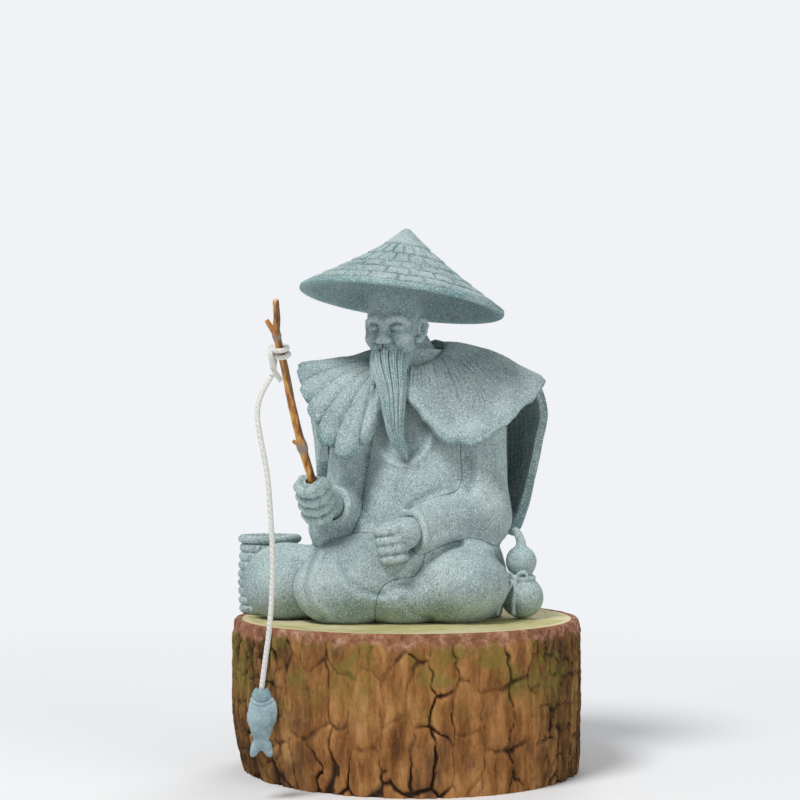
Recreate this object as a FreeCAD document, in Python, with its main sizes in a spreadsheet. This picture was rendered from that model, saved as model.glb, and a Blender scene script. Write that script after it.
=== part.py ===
import FreeCAD, Part
import Sketcher
import math
import os

# Okimono of a seated old fisherman in green sandstone, on a slice of a log.
# The carving wears a conical bamboo hat and a two-layer straw cape, with a creel beside one knee and a gourd
# beside the other. A twig stands in the fist as a fishing rod. Its cotton line hangs past the log, with a fish.
#
# Frame: millimetres, +Z up, the figure looks along -Y, origin at the middle of the log's foot.
# Right and left are the figure's own, so its right side is at -X.

# Driving sizes: millimetres, but degrees where the name ends in azimuth, yaw, pitch or roll, and plain counts.
SIZES = {
    # log
    "log_radius": 43.6,
    "log_height": 37.0,
    "bark_thickness": 2.6,
    "furrow_count": 24,
    "furrow_depth": 1.2,
    "furrow_half_width": 0.9,
    # torso, from the log's top up to the neck
    "spine_x": 2.0,
    "spine_y": 3.0,
    "torso_height": 65.0,
    "torso_half_width": 23.0,
    "torso_half_depth": 18.0,
    "neckline_half_width": 8.6,
    "neckline_half_height": 11.0,
    "neckline_depth": 1.0,
    # head, its centre measured from the top of the torso
    "neck_radius": 5.2,
    "head_rise": 6.4,
    "head_side": 5.0,
    "head_forward": 6.0,
    "head_yaw": 22.0,
    "head_half_width": 7.2,
    "head_half_depth": 8.2,
    "head_half_height": 10.6,
    "nose_radius": 1.3,
    "nose_length": 4.4,
    "ear_half_height": 3.4,
    "ear_half_depth": 2.2,
    "ear_half_thickness": 0.9,
    # beard
    "beard_length": 27.0,
    "beard_half_width": 5.0,
    "beard_half_depth": 3.2,
    "beard_sweep": 5.6,
    "beard_forward": 7.4,
    # hat, measured from the middle of its rim
    "hat_radius": 25.8,
    "hat_height": 19.4,
    "hat_rim": 2.4,
    "hat_wall": 2.4,
    "hat_tip_radius": 0.9,
    "hat_step": 0.25,
    "hat_ring_count": 7,
    "hat_seat_radius": 8.6,
    "hat_seat_rise": 7.6,
    "hat_rise": 13.0,
    "hat_side": 3.4,
    "hat_forward": 2.6,
    "hat_pitch": 4.5,
    "hat_roll": 9.0,
    # shoulder cape, its lift being the height over the log of its lowest hem
    "cape_neck_radius": 6.8,
    "cape_reach": 33.4,
    "cape_top": 4.5,
    "cape_lift": 41.5,
    "collar_azimuth": 245.0,
    "collar_opening": 5.2,
    "collar_dip": 8.0,
    "cape_thickness": 2.2,
    "cape_pleat": 0.55,
    "cape_pleat_count": 38,
    # back cape, which hangs from under the shoulder cape down to its own lift
    "mantle_reach": 34.4,
    "mantle_lift": 21.0,
    "mantle_thickness": 2.2,
    "mantle_pleat": 0.45,
    "mantle_pleat_count": 22,
    # left leg, folded in front, measured from the spine
    "left_knee_side": 9.6,
    "left_knee_forward": 13.0,
    "left_knee_half_width": 13.2,
    "left_knee_half_depth": 13.8,
    "left_knee_half_height": 10.6,
    "left_foot_side": 3.4,
    "left_foot_forward": 16.4,
    "left_foot_half_width": 11.6,
    "left_foot_half_depth": 9.6,
    "left_foot_half_height": 7.0,
    # right leg, out to the side
    "right_knee_side": 31.6,
    "right_knee_forward": 6.5,
    "right_knee_half_width": 11.0,
    "right_knee_half_depth": 10.6,
    "right_knee_half_height": 9.8,
    "right_thigh_side": 19.0,
    "right_thigh_half_width": 16.0,
    # robe skirt, draped over the crossed shins
    "skirt_side": 17.0,
    "skirt_forward": 17.6,
    "skirt_half_width": 12.4,
    "skirt_half_depth": 9.4,
    "skirt_half_height": 9.4,
    "lap_side": 9.0,
    "lap_forward": 12.6,
    "lap_rise": 13.0,
    "lap_half_width": 17.0,
    "lap_half_depth": 11.6,
    "lap_half_height": 8.4,
    # left sleeve, across the belly, its shoulder measured down from the top of the torso
    "left_shoulder_side": 14.6,
    "left_shoulder_drop": 13.5,
    "left_shoulder_radius": 8.4,
    "left_elbow_side": 15.2,
    "left_elbow_forward": 5.4,
    "left_elbow_rise": 26.0,
    "left_elbow_radius": 7.8,
    "left_wrist_side": 0.6,
    "left_wrist_forward": 21.0,
    "left_wrist_rise": 22.4,
    # right sleeve, forward to the rod
    "right_shoulder_side": 12.8,
    "right_shoulder_drop": 14.5,
    "right_shoulder_radius": 7.6,
    "right_elbow_side": 15.4,
    "right_elbow_forward": 2.4,
    "right_elbow_rise": 26.6,
    "right_elbow_radius": 7.0,
    "cuff_radius": 5.0,
    "cuff_wall": 0.9,
    "cuff_depth": 1.8,
    "hem_sleeve_radius": 6.0,
    "hem_sleeve_drop": 5.6,
    # hands
    "wrist_radius": 3.4,
    "palm_radius": 4.3,
    "finger_radius": 1.35,
    "grip_radius": 3.0,
    "rod_hole_radius": 1.5,
    # rod, a twig whose foot stands in the right fist
    "grip_side": 23.7,
    "grip_forward": 20.6,
    "grip_rise": 29.6,
    "rod_lean_side": 11.0,
    "rod_lean_forward": 31.0,
    "rod_rise": 45.6,
    "rod_foot_radius": 1.05,
    "rod_tip_radius": 0.75,
    "rod_knob_radius": 1.5,
    "stub_length": 4.0,
    "stub_radius": 0.62,
    # line and knot
    "line_radius": 0.6,
    "knot_height_share": 0.8,
    "knot_half_turns": 5,
    "knot_clearance": 0.12,
    "knot_gap": 0.62,
    "line_gap": 0.45,
    "line_first_run": 4.8,
    # fish
    "fish_length": 16.2,
    "fish_half_width": 3.5,
    "fish_half_thickness": 2.2,
    "fish_mouth_radius": 1.5,
    "fish_mouth_depth": 1.4,
    "fish_tail_half_width": 1.2,
    "fish_tail_splay": 24.0,
    # creel, its middle measured in from the edge of the log
    "creel_inset": 6.6,
    "creel_back": 8.0,
    "creel_height": 20.0,
    "creel_radius": 8.2,
    "creel_rim_radius": 1.1,
    "creel_recess": 5.2,
    "creel_wall": 1.6,
    "creel_row_count": 7,
    "creel_row_depth": 0.45,
    # gourd
    "gourd_side": 26.4,
    "gourd_forward": 7.0,
    "gourd_lower_radius": 5.4,
    "gourd_upper_radius": 3.9,
    "gourd_lift": 5.0,
    "gourd_spacing": 8.9,
    "gourd_stem_radius": 1.1,
    "gourd_stem_length": 3.4,
    "ribbon_radius": 0.7,
    # between pieces that sit on each other, and past whatever is cut
    "clearance": 0.3,
    "overrun": 2.0,
}


class Size:
    """A length that knows both its number and its formula in the sheet."""

    def __init__(self, value, formula):
        self.value = float(value)
        self.formula = formula

    def __float__(self):
        return self.value

    def __add__(self, other):
        other = as_size(other)
        return Size(self.value + other.value, f"({self.formula} + {other.formula})")

    def __sub__(self, other):
        other = as_size(other)
        return Size(self.value - other.value, f"({self.formula} - {other.formula})")

    def __mul__(self, other):
        other = as_size(other)
        return Size(self.value * other.value, f"({self.formula} * {other.formula})")

    def __truediv__(self, other):
        other = as_size(other)
        return Size(self.value / other.value, f"({self.formula} / {other.formula})")

    def __neg__(self):
        return self * -1

    __radd__ = __add__
    __rmul__ = __mul__


def as_size(number):
    """Wraps a plain number, and leaves a Size as it is."""
    return number if isinstance(number, Size) else Size(number, f"({number})")


class Names:
    """The driving sizes, each reached by its name."""


doc = FreeCAD.newDocument("okimono")
sheet = doc.addObject("Spreadsheet::Sheet", "Sizes")
s = Names()
for row, (size_name, size_value) in enumerate(SIZES.items(), 1):
    sheet.set(f"A{row}", size_name)
    sheet.set(f"B{row}", str(size_value))
    sheet.setAlias(f"B{row}", size_name)
    setattr(s, size_name, Size(size_value, f"Sizes.{size_name}"))
doc.recompute()

ZERO = Size(0, "0")
ALIKE_SHARE = 0.01
UP = FreeCAD.Vector(0, 0, 1)
nodes = {}


# Helpers for bound objects

def bind(target, **sizes):
    """Binds properties of an object to the formulas of their sizes."""
    for name, size in sizes.items():
        target.setExpression(name, as_size(size).formula)


def place(target, point, rotation=None):
    """Puts an object at a bound point, turned by a rotation."""
    x, y, z = (as_size(part) for part in point)
    turn = rotation or FreeCAD.Rotation()
    target.Placement = FreeCAD.Placement(FreeCAD.Vector(x.value, y.value, z.value), turn)
    target.setExpression("Placement.Base.x", x.formula)
    target.setExpression("Placement.Base.y", y.formula)
    target.setExpression("Placement.Base.z", z.formula)
    return target


def vector(point):
    """The plain vector of a bound point."""
    return FreeCAD.Vector(*(float(part) for part in point))


def shift(point, direction, distance):
    """A bound point moved along a plain direction by a bound distance."""
    return tuple(part + distance * step for part, step in zip(point, direction))


def between(first, second, share):
    """The bound point at a share of the way from one point to another."""
    return tuple(a + (b - a) * share for a, b in zip(first, second))


def ellipsoid(name, centre, radii, rotation=None):
    shape = doc.addObject("Part::Ellipsoid", name)
    bind(shape, Radius1=radii[2], Radius2=radii[0], Radius3=radii[1])
    return place(shape, centre, rotation)


def ball(name, centre, radius):
    shape = doc.addObject("Part::Sphere", name)
    bind(shape, Radius=radius)
    return place(shape, centre)


def taper(name, start, end, start_radius, end_radius):
    """A cone frustum from one bound point to another, or a cylinder where its radii are alike."""
    reach = vector(end) - vector(start)
    turn = FreeCAD.Rotation(UP, reach)
    if abs(float(start_radius) - float(end_radius)) < float(s.clearance) * ALIKE_SHARE:
        shape = doc.addObject("Part::Cylinder", name)
        bind(shape, Radius=start_radius)
    else:
        shape = doc.addObject("Part::Cone", name)
        bind(shape, Radius1=start_radius, Radius2=end_radius)
    shape.Height = reach.Length
    return place(shape, start, turn)


def fuse(name, shapes):
    shape = doc.addObject("Part::MultiFuse", name)
    shape.Shapes = shapes
    shape.Refine = False
    return shape


def cut(name, base, tools):
    """Takes one or more tools away from a form, one after another."""
    for number, tool in enumerate(tools):
        last = number == len(tools) - 1
        step = doc.addObject("Part::Cut", name if last else f"{name}_step_{number + 1}")
        step.Base = base
        step.Tool = tool
        step.Refine = False
        base = step
    return base


def ring_loft(name, rings, yaw=0.0):
    """A smooth form through level ellipses, each given as centre, half width and half depth."""
    sections = []
    for number, (centre, half_width, half_depth) in enumerate(rings):
        ring = doc.addObject("Part::Ellipse", f"{name}_ring_{number + 1}")
        wide = float(half_width) >= float(half_depth)
        bind(ring, MajorRadius=half_width if wide else half_depth, MinorRadius=half_depth if wide else half_width)
        sections.append(place(ring, centre, FreeCAD.Rotation(UP, yaw if wide else yaw + 90)))
    loft = doc.addObject("Part::Loft", name)
    loft.Sections = sections
    loft.Solid = True
    loft.Ruled = False
    return loft


def limb(name, stations):
    """A chain of balls joined by tapers, each station given as point and radius."""
    pieces = []
    for number, (point, radius) in enumerate(stations):
        pieces.append(ball(f"{name}_joint_{number + 1}", point, radius))
        if number:
            before, before_radius = stations[number - 1]
            pieces.append(taper(f"{name}_bone_{number}", before, point, before_radius, radius))
    return pieces


def profile_body(name, points, axis_name="V_Axis"):
    """A body turned from a closed outline of (radius, height) points, none of them below or behind the origin."""
    body = doc.addObject("PartDesign::Body", name)
    plane = next(item for item in body.Origin.OriginFeatures if item.Role == "XZ_Plane")
    sketch = body.newObject("Sketcher::SketchObject", f"{name}_outline")
    sketch.AttachmentSupport = [(plane, "")]
    sketch.MapMode = "FlatFace"
    corners = [FreeCAD.Vector(float(radius), float(height), 0) for radius, height in points]
    count = len(corners)
    for number in range(count):
        sketch.addGeometry(Part.LineSegment(corners[number], corners[(number + 1) % count]), False)
    for number in range(count):
        sketch.addConstraint(Sketcher.Constraint("Coincident", number, 2, (number + 1) % count, 1))
    for number, (radius, height) in enumerate(points):
        pin(sketch, number, "DistanceX", radius, -2)
        pin(sketch, number, "DistanceY", height, -1)
    turned = body.newObject("PartDesign::Revolution", f"{name}_turned")
    turned.Profile = sketch
    turned.ReferenceAxis = (sketch, [axis_name])
    turned.Angle = 360
    body.Tip = turned
    return body


def pin(sketch, number, kind, size, axis):
    """Holds a line's first point at a bound distance from the origin, or on the axis where that is zero."""
    size = as_size(size)
    if size.value == 0:
        sketch.addConstraint(Sketcher.Constraint("PointOnObject", number, 1, axis))
        return
    index = sketch.addConstraint(Sketcher.Constraint(kind, -1, 1, number, 1, size.value))
    sketch.setExpression(f"Constraints[{index}]", size.formula)


def node(name, shape):
    """Names a finished sub-part."""
    shape.Label = name
    nodes[name] = shape
    return shape


# Log: heartwood, and a bark ring furrowed all round

def log_pieces():
    core_radius = s.log_radius - s.bark_thickness
    core = profile_body("log_core_body", [(ZERO, ZERO), (core_radius, ZERO), (core_radius, s.log_height),
                                          (ZERO, s.log_height)])
    bark = profile_body("bark_body", [(core_radius, ZERO), (s.log_radius, ZERO), (s.log_radius, s.log_height),
                                      (core_radius, s.log_height)])
    plane = next(item for item in bark.Origin.OriginFeatures if item.Role == "XY_Plane")
    sketch = bark.newObject("Sketcher::SketchObject", "furrow_outline")
    sketch.AttachmentSupport = [(plane, "")]
    sketch.MapMode = "FlatFace"
    bottom = s.log_radius - s.furrow_depth
    outside = s.log_radius + s.furrow_depth
    mouth = s.furrow_half_width * 2
    corners = [(float(bottom), 0), (float(outside), -float(mouth)), (float(outside), float(mouth))]
    for number in range(3):
        first, second = corners[number], corners[(number + 1) % 3]
        sketch.addGeometry(Part.LineSegment(FreeCAD.Vector(*first, 0), FreeCAD.Vector(*second, 0)), False)
    for number in range(3):
        sketch.addConstraint(Sketcher.Constraint("Coincident", number, 2, (number + 1) % 3, 1))
    pin(sketch, 0, "DistanceX", bottom, -2)
    sketch.addConstraint(Sketcher.Constraint("PointOnObject", 0, 1, -1))
    pin(sketch, 1, "DistanceX", outside, -2)
    sketch.addConstraint(Sketcher.Constraint("Symmetric", 1, 1, 2, 1, -1))
    width = sketch.addConstraint(Sketcher.Constraint("DistanceY", 1, 1, 2, 1, 2 * float(mouth)))
    sketch.setExpression(f"Constraints[{width}]", (mouth * 2).formula)
    furrow = bark.newObject("PartDesign::Pocket", "furrow")
    furrow.Profile = sketch
    furrow.Type = 1
    furrow.Reversed = True
    furrows = bark.newObject("PartDesign::PolarPattern", "furrows")
    furrows.Originals = [furrow]
    furrows.Axis = (sketch, ["N_Axis"])
    furrows.Angle = 360
    bind(furrows, Occurrences=s.furrow_count)
    bark.Tip = furrows
    node("log_heartwood", core)
    node("log_bark", bark)


# Straw cape: one pleated sheet round the neck, longer at the shoulders and in front, open under the beard.
# Each row holds an azimuth in degrees, a share of the reach, and a share of the way down from collar to lift.

CAPE_SHARES = (
    (-104, 0.47, 0.50), (-80, 0.54, 0.74), (-57, 0.63, 1.00), (-38, 0.80, 0.80), (-18, 0.93, 0.52),
    (0, 1.00, 0.33), (25, 0.97, 0.38), (60, 0.84, 0.56), (90, 0.78, 0.62), (120, 0.79, 0.56), (150, 0.83, 0.38),
    (180, 0.86, 0.25), (197, 0.86, 0.48), (212, 0.84, 0.77), (222, 0.81, 0.97), (230, 0.70, 1.00),
    (238, 0.55, 0.74), (244, 0.48, 0.58),
)
CAPE_BEND_SHARE = 1.5
CAPE_OUTER_SHARES = (0.0, 0.34, 0.68, 1.0)
CAPE_INNER_SHARES = (1.0, 0.5, 0.0)

# The back cape's rows hold an azimuth and shares of its reach, of its drop and of how far its hem is drawn in.
MANTLE_SHARES = (
    (4, 1.00, 1.00, 0.27), (30, 0.95, 1.02, 0.20), (60, 0.86, 1.04, 0.15), (90, 0.82, 1.06, 0.12),
    (120, 0.82, 0.98, 0.10), (150, 0.80, 0.82, 0.08), (172, 0.76, 0.66, 0.06), (186, 0.73, 0.58, 0.05),
)
MANTLE_TOP_SHARES = (0.36, 0.93)
MANTLE_HANG_SHARES = ((0.00, 0.00), (0.00, 0.38), (0.30, 0.70), (1.00, 1.00))
MANTLE_INNER_SHARES = ((1.00, 1.00), (0.05, 0.42), (0.00, 0.04))


def smooth(rows, azimuth, column):
    """Reads a column of a table at an azimuth, on a smooth curve through its rows."""
    last = len(rows) - 1
    index = max(i for i in range(last) if rows[i][0] <= azimuth or i == 0)
    before, start = rows[max(index - 1, 0)], rows[index]
    end, after = rows[index + 1], rows[min(index + 2, last)]
    span = end[0] - start[0]
    t = (azimuth - start[0]) / span
    start_slope = (end[column] - before[column]) / (end[0] - before[0]) * span
    end_slope = (after[column] - start[column]) / (after[0] - start[0]) * span
    rise = end[column] - start[column]
    return (start[column] + t * start_slope + t ** 2 * (3 * rise - 2 * start_slope - end_slope)
            + t ** 3 * (start_slope + end_slope - 2 * rise))


def ray(azimuth, radius, height):
    """A point beside the spine, at an azimuth and a radius from it."""
    angle = math.radians(azimuth)
    return FreeCAD.Vector(float(s.spine_x) + radius * math.cos(angle),
                          float(s.spine_y) + radius * math.sin(angle), height)


def collar(azimuth):
    """Radius and height of the shoulder cape's neck edge, which opens and dips under the chin."""
    front = (0.5 + 0.5 * math.cos(math.radians(azimuth - float(s.collar_azimuth)))) ** 2
    top = float(s.log_height + s.torso_height + s.cape_top)
    return float(s.cape_neck_radius) + float(s.collar_opening) * front, top - float(s.collar_dip) * front


def cape_height(azimuth, radius):
    """Height of the shoulder cape's outer side."""
    neck, top = collar(azimuth)
    reach = float(s.cape_reach) * smooth(CAPE_SHARES, azimuth, 1)
    drop = float(s.torso_height + s.cape_top - s.cape_lift)
    hem = float(s.log_height + s.torso_height + s.cape_top) - drop * smooth(CAPE_SHARES, azimuth, 2)
    along = min(max((radius - neck) / (reach - neck), 0.0), 1.0)
    return top - (top - hem) * along ** CAPE_BEND_SHARE


def cape_outline(azimuth, pleat):
    """Cross-section of the shoulder cape at an azimuth: its outer side, then its inner side back to the neck."""
    neck = collar(azimuth)[0]
    reach = float(s.cape_reach) * smooth(CAPE_SHARES, azimuth, 1)
    outer = []
    for share in CAPE_OUTER_SHARES:
        radius = neck + (reach - neck) * share
        outer.append((radius, cape_height(azimuth, radius) + pleat * share))
    inner = []
    for share in CAPE_INNER_SHARES:
        radius = neck + (reach - neck) * share
        inner.append((radius, cape_height(azimuth, radius) - float(s.cape_thickness)))
    return outer + inner


def mantle_outline(azimuth, pleat):
    """Cross-section of the back cape: along under the shoulder cape, down outside the arms, and back inside."""
    reach = float(s.mantle_reach) * smooth(MANTLE_SHARES, azimuth, 1)
    thick = float(s.mantle_thickness)
    under_cape = float(s.cape_thickness + s.clearance + s.mantle_pleat)
    fold = cape_height(azimuth, reach) - under_cape - thick / 2
    drop = float(s.torso_height - s.mantle_lift)
    hem = float(s.log_height + s.torso_height) - drop * smooth(MANTLE_SHARES, azimuth, 2)
    outer = [(reach * share, cape_height(azimuth, reach * share) - under_cape + pleat * share)
             for share in MANTLE_TOP_SHARES]
    drawn_in = reach * smooth(MANTLE_SHARES, azimuth, 3)
    outer += [(reach + pleat - drawn_in * inward, fold - (fold - hem) * down)
              for inward, down in MANTLE_HANG_SHARES]
    inner = [(reach - thick - drawn_in * inward, fold - thick / 2 - (fold - thick / 2 - hem) * down)
             for inward, down in MANTLE_INNER_SHARES]
    inner.append((outer[0][0], cape_height(azimuth, outer[0][0]) - under_cape - thick))
    return outer + inner


def wrap_loft(outline, rows, pleat, count):
    """A sheet swept round the spine through its cross-sections, every other one a pleat's crest."""
    start, end = rows[0][0], rows[-1][0]
    sections = []
    for step in range(2 * count + 1):
        azimuth = start + (end - start) * step / (2 * count)
        points = [ray(azimuth, *point) for point in outline(azimuth, pleat if step % 2 else -pleat)]
        sections.append(Part.makePolygon(points + points[:1]))
    return Part.makeLoft(sections, True, True)


def feature(name, shape):
    """Puts a worked-out shape into the document."""
    holder = doc.addObject("Part::Feature", name)
    holder.Shape = shape
    return holder


def capes():
    cape = wrap_loft(cape_outline, CAPE_SHARES, float(s.cape_pleat), int(float(s.cape_pleat_count)))
    mantle = wrap_loft(mantle_outline, MANTLE_SHARES, float(s.mantle_pleat), int(float(s.mantle_pleat_count)))
    node("shoulder_cape", feature("shoulder_cape_sheet", cape))
    node("back_cape", feature("back_cape_sheet", mantle))


# Figure's frame: a point given sideways (to its left), forward and up from where the spine meets the log

def at(side, forward, rise):
    return (s.spine_x + side, s.spine_y - forward, s.log_height + rise)


# Torso: a lofted robe, narrow between the arms. Rows hold shares of its height, half width and half depth.

TORSO_SHARES = (
    (0.00, 0.94, 0.84), (0.18, 1.00, 1.00), (0.46, 0.72, 0.92), (0.76, 0.61, 0.64), (0.93, 0.48, 0.44),
    (1.00, 0.26, 0.30),
)


def torso_form(name, grow):
    return ring_loft(name, [
        (at(ZERO, ZERO, s.torso_height * height), s.torso_half_width * width + grow,
         s.torso_half_depth * depth + grow)
        for height, width, depth in TORSO_SHARES
    ])


# Where the neckline's hollow lies: shares of the head's side step, of the torso's half depth and of its height.
NECKLINE_SHARES = (0.5, 0.77, 0.74)
NECKLINE_SWELL_SHARE = 0.16


def torso_piece():
    side, forward, rise = NECKLINE_SHARES
    chest = at(-s.head_side * side, s.torso_half_depth * forward, s.torso_height * rise)
    dish_depth = s.torso_half_depth * NECKLINE_SWELL_SHARE + s.neckline_depth
    dish = ellipsoid("neckline_dish", chest, (s.neckline_half_width, dish_depth, s.neckline_half_height))
    node("torso", cut("torso_robe", torso_form("torso_form", ZERO), [dish]))


# Legs and skirt, all cut flat where they sit on the log. Each one's middle lies at a share of its half height.

LEG_SEAT_SHARE = 0.86
RIGHT_LEG_SEAT_SHARE = 0.9


def leg_form(name, grow, left):
    if left:
        knee = ellipsoid(f"{name}_knee",
                         at(s.left_knee_side, s.left_knee_forward, s.left_knee_half_height * LEG_SEAT_SHARE),
                         (s.left_knee_half_width + grow, s.left_knee_half_depth + grow,
                          s.left_knee_half_height + grow))
        foot = ellipsoid(f"{name}_foot",
                         at(-s.left_foot_side, s.left_foot_forward, s.left_foot_half_height * LEG_SEAT_SHARE),
                         (s.left_foot_half_width + grow, s.left_foot_half_depth + grow,
                          s.left_foot_half_height + grow))
        return fuse(name, [knee, foot])
    rise = s.right_knee_half_height * RIGHT_LEG_SEAT_SHARE
    knee = ellipsoid(f"{name}_knee", at(-s.right_knee_side, s.right_knee_forward, rise),
                     (s.right_knee_half_width + grow, s.right_knee_half_depth + grow,
                      s.right_knee_half_height + grow))
    thigh = ellipsoid(f"{name}_thigh", at(-s.right_thigh_side, s.right_knee_forward, rise),
                      (s.right_thigh_half_width + grow, s.right_knee_half_depth + grow,
                       s.right_knee_half_height + grow))
    return fuse(name, [knee, thigh])


def skirt_form(name, grow):
    skirt = ellipsoid(f"{name}_drape", at(-s.skirt_side, s.skirt_forward, s.skirt_half_height * LEG_SEAT_SHARE),
                      (s.skirt_half_width + grow, s.skirt_half_depth + grow, s.skirt_half_height + grow))
    lap = ellipsoid(f"{name}_lap", at(-s.lap_side, s.lap_forward, s.lap_rise),
                    (s.lap_half_width + grow, s.lap_half_depth + grow, s.lap_half_height + grow))
    return fuse(name, [skirt, lap])


def lower_pieces():
    """Makes the legs and the skirt, and returns the space that the pieces above them keep clear."""
    ground = doc.addObject("Part::Cylinder", "log_space")
    bind(ground, Radius=s.log_radius + s.overrun, Height=s.log_height)
    torso_space = torso_form("torso_space", s.clearance)
    left = leg_form("left_leg_form", ZERO, True)
    node("left_leg", cut("left_leg_robe", left, [torso_space, ground]))
    left_space = leg_form("left_leg_space", s.clearance, True)
    right = leg_form("right_leg_form", ZERO, False)
    behind = fuse("legs_behind", [torso_space, left_space])
    node("right_leg", cut("right_leg_robe", right, [behind, ground]))
    right_space = leg_form("right_leg_space", s.clearance, False)
    legs_space = fuse("legs_space", [behind, right_space])
    node("skirt", cut("skirt_robe", skirt_form("skirt_form", ZERO), [legs_space, ground]))
    lower_space = fuse("lower_space", [legs_space, skirt_form("skirt_space", s.clearance), ground])
    return lower_space


# Sleeves and hands

RIGHT_WRIST_SHARE = 0.62


def left_arm():
    shoulder = at(s.left_shoulder_side, -s.clearance, s.torso_height - s.left_shoulder_drop)
    elbow = at(s.left_elbow_side, s.left_elbow_forward, s.left_elbow_rise)
    wrist = at(-s.left_wrist_side, s.left_wrist_forward, s.left_wrist_rise)
    return shoulder, elbow, wrist


def right_arm():
    shoulder = at(-s.right_shoulder_side, s.right_elbow_forward, s.torso_height - s.right_shoulder_drop)
    elbow = at(-s.right_elbow_side, s.right_elbow_forward, s.right_elbow_rise)
    return shoulder, elbow, between(elbow, right_heel()[1], RIGHT_WRIST_SHARE)


def sleeve(name, arm, radii, spaces, extra=()):
    """A robe sleeve with an open cuff round the wrist."""
    shoulder, elbow, wrist = arm
    pieces = limb(f"{name}_form", [(shoulder, radii[0]), (elbow, radii[1])])
    pieces.append(taper(f"{name}_forearm", elbow, wrist, radii[1], s.cuff_radius))
    whole = fuse(f"{name}_whole", pieces + list(extra))
    forward = (vector(wrist) - vector(elbow)).normalize()
    bottom = shift(wrist, forward, -s.cuff_depth)
    mouth = shift(wrist, forward, s.overrun)
    hollow = taper(f"{name}_cuff_hollow", bottom, mouth, s.cuff_radius - s.cuff_wall, s.cuff_radius - s.cuff_wall)
    return cut(f"{name}_robe", whole, list(spaces) + [hollow])


def wrist_stub(name, arm, reach):
    """A hand's wrist, from the cuff's bottom out to the palm."""
    elbow, wrist = arm[1:]
    forward = (vector(wrist) - vector(elbow)).normalize()
    bottom = shift(wrist, forward, s.clearance - s.cuff_depth)
    return taper(name, bottom, reach, s.wrist_radius, s.wrist_radius)


def arm_pieces(lower_space):
    spaces = [lower_space]
    arm = left_arm()
    node("left_sleeve", sleeve("left_sleeve", arm, (s.left_shoulder_radius, s.left_elbow_radius), spaces))
    node("left_hand", left_hand(arm, lower_space))

    arm = right_arm()
    hanging = ellipsoid("right_sleeve_hang", (arm[2][0] - s.cuff_wall, arm[2][1] + s.hem_sleeve_radius,
                                              arm[2][2] - s.hem_sleeve_drop),
                        (s.hem_sleeve_radius, s.hem_sleeve_radius, s.hem_sleeve_radius))
    right = sleeve("right_sleeve", arm, (s.right_shoulder_radius, s.right_elbow_radius), spaces, [hanging])
    node("right_sleeve", right)
    node("right_hand", right_hand(arm))


# Along the rod, from the grip on: shares of its lean for its foot, its first knot of wood, its fork and its tip,
# each with the share of the sideways lean by which it strays from the straight.
ROD_SHARES = ((-0.06, 0.0), (0.28, 0.0), (0.83, -0.11), (1.0, -0.29))


def rod_route():
    """The rod's foot in the fist, its first knot of wood, its fork and its tip."""
    grip = at(-s.grip_side, s.grip_forward, s.grip_rise)
    lean = (-s.rod_lean_side, -s.rod_lean_forward, s.rod_rise)

    return [(grip[0] + lean[0] * (share + stray), grip[1] + lean[1] * share, grip[2] + lean[2] * share)
            for share, stray in ROD_SHARES]


# One finger's outline: shares of the roll's radius and of a finger's height.
FINGER_SHARES = ((0.80, 0.00), (1.00, 0.24), (1.00, 0.76), (0.80, 0.99))
FINGER_COUNT = 4
HEEL_SHARE = 0.35


def finger_roll(name):
    """Four curled fingers stacked along +Z, turned from one scalloped outline."""
    outer = s.grip_radius + s.finger_radius
    pitch = s.finger_radius * 2
    points = [(ZERO, ZERO)]
    for number in range(FINGER_COUNT):
        for reach_share, rise_share in FINGER_SHARES:
            points.append((outer * reach_share, pitch * (number + rise_share)))
    points.append((ZERO, pitch * FINGER_COUNT))
    return profile_body(name, points)


def right_heel():
    """The foot of the right fist's four fingers, the heel of its palm on the rod's line, and that line's heading."""
    foot, knob = rod_route()[:2]
    axis = (vector(knob) - vector(foot)).normalize()
    bottom = shift(foot, axis, -s.finger_radius - s.clearance)
    return bottom, shift(bottom, axis, s.finger_radius * 2 * FINGER_COUNT * HEEL_SHARE), axis


def right_hand(arm):
    """A fist of four curled fingers, stacked round the rod's foot, with the hole that holds it."""
    bottom, heel, axis = right_heel()
    fingers = finger_roll("right_fingers")
    place(fingers, bottom, FreeCAD.Rotation(UP, axis))
    top = shift(bottom, axis, s.finger_radius * 2 * FINGER_COUNT + s.overrun)
    hole = taper("rod_hole", shift(bottom, axis, s.finger_radius), top, s.rod_hole_radius, s.rod_hole_radius)
    return cut("right_fist", fuse("right_fist_form", [fingers, wrist_stub("right_wrist", arm, heel)]), [hole])


LEFT_FIST_HEADING = FreeCAD.Vector(-0.45, 0.25, -1.0).normalize()


def left_hand(arm, lower_space):
    """A closed fist that rests on the lap, its knuckles towards the right knee."""
    forward = (vector(arm[2]) - vector(arm[1])).normalize()
    across = LEFT_FIST_HEADING
    fingers = finger_roll("left_fingers")
    centre = shift(arm[2], forward, s.palm_radius + s.finger_radius)
    place(fingers, shift(centre, across, -s.finger_radius * FINGER_COUNT), FreeCAD.Rotation(UP, across))
    return cut("left_fist", fuse("left_fist_form", [fingers, wrist_stub("left_wrist", arm, centre)]), [lower_space])


# Head, hat and beard

def head_axes():
    """Plain directions of the face: forward, to the figure's left, and up."""
    yaw = math.radians(float(s.head_yaw))
    return (FreeCAD.Vector(-math.sin(yaw), -math.cos(yaw), 0), FreeCAD.Vector(math.cos(yaw), -math.sin(yaw), 0), UP)


def head_centre():
    return at(-s.head_side, s.head_forward, s.torso_height + s.head_rise)


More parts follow.
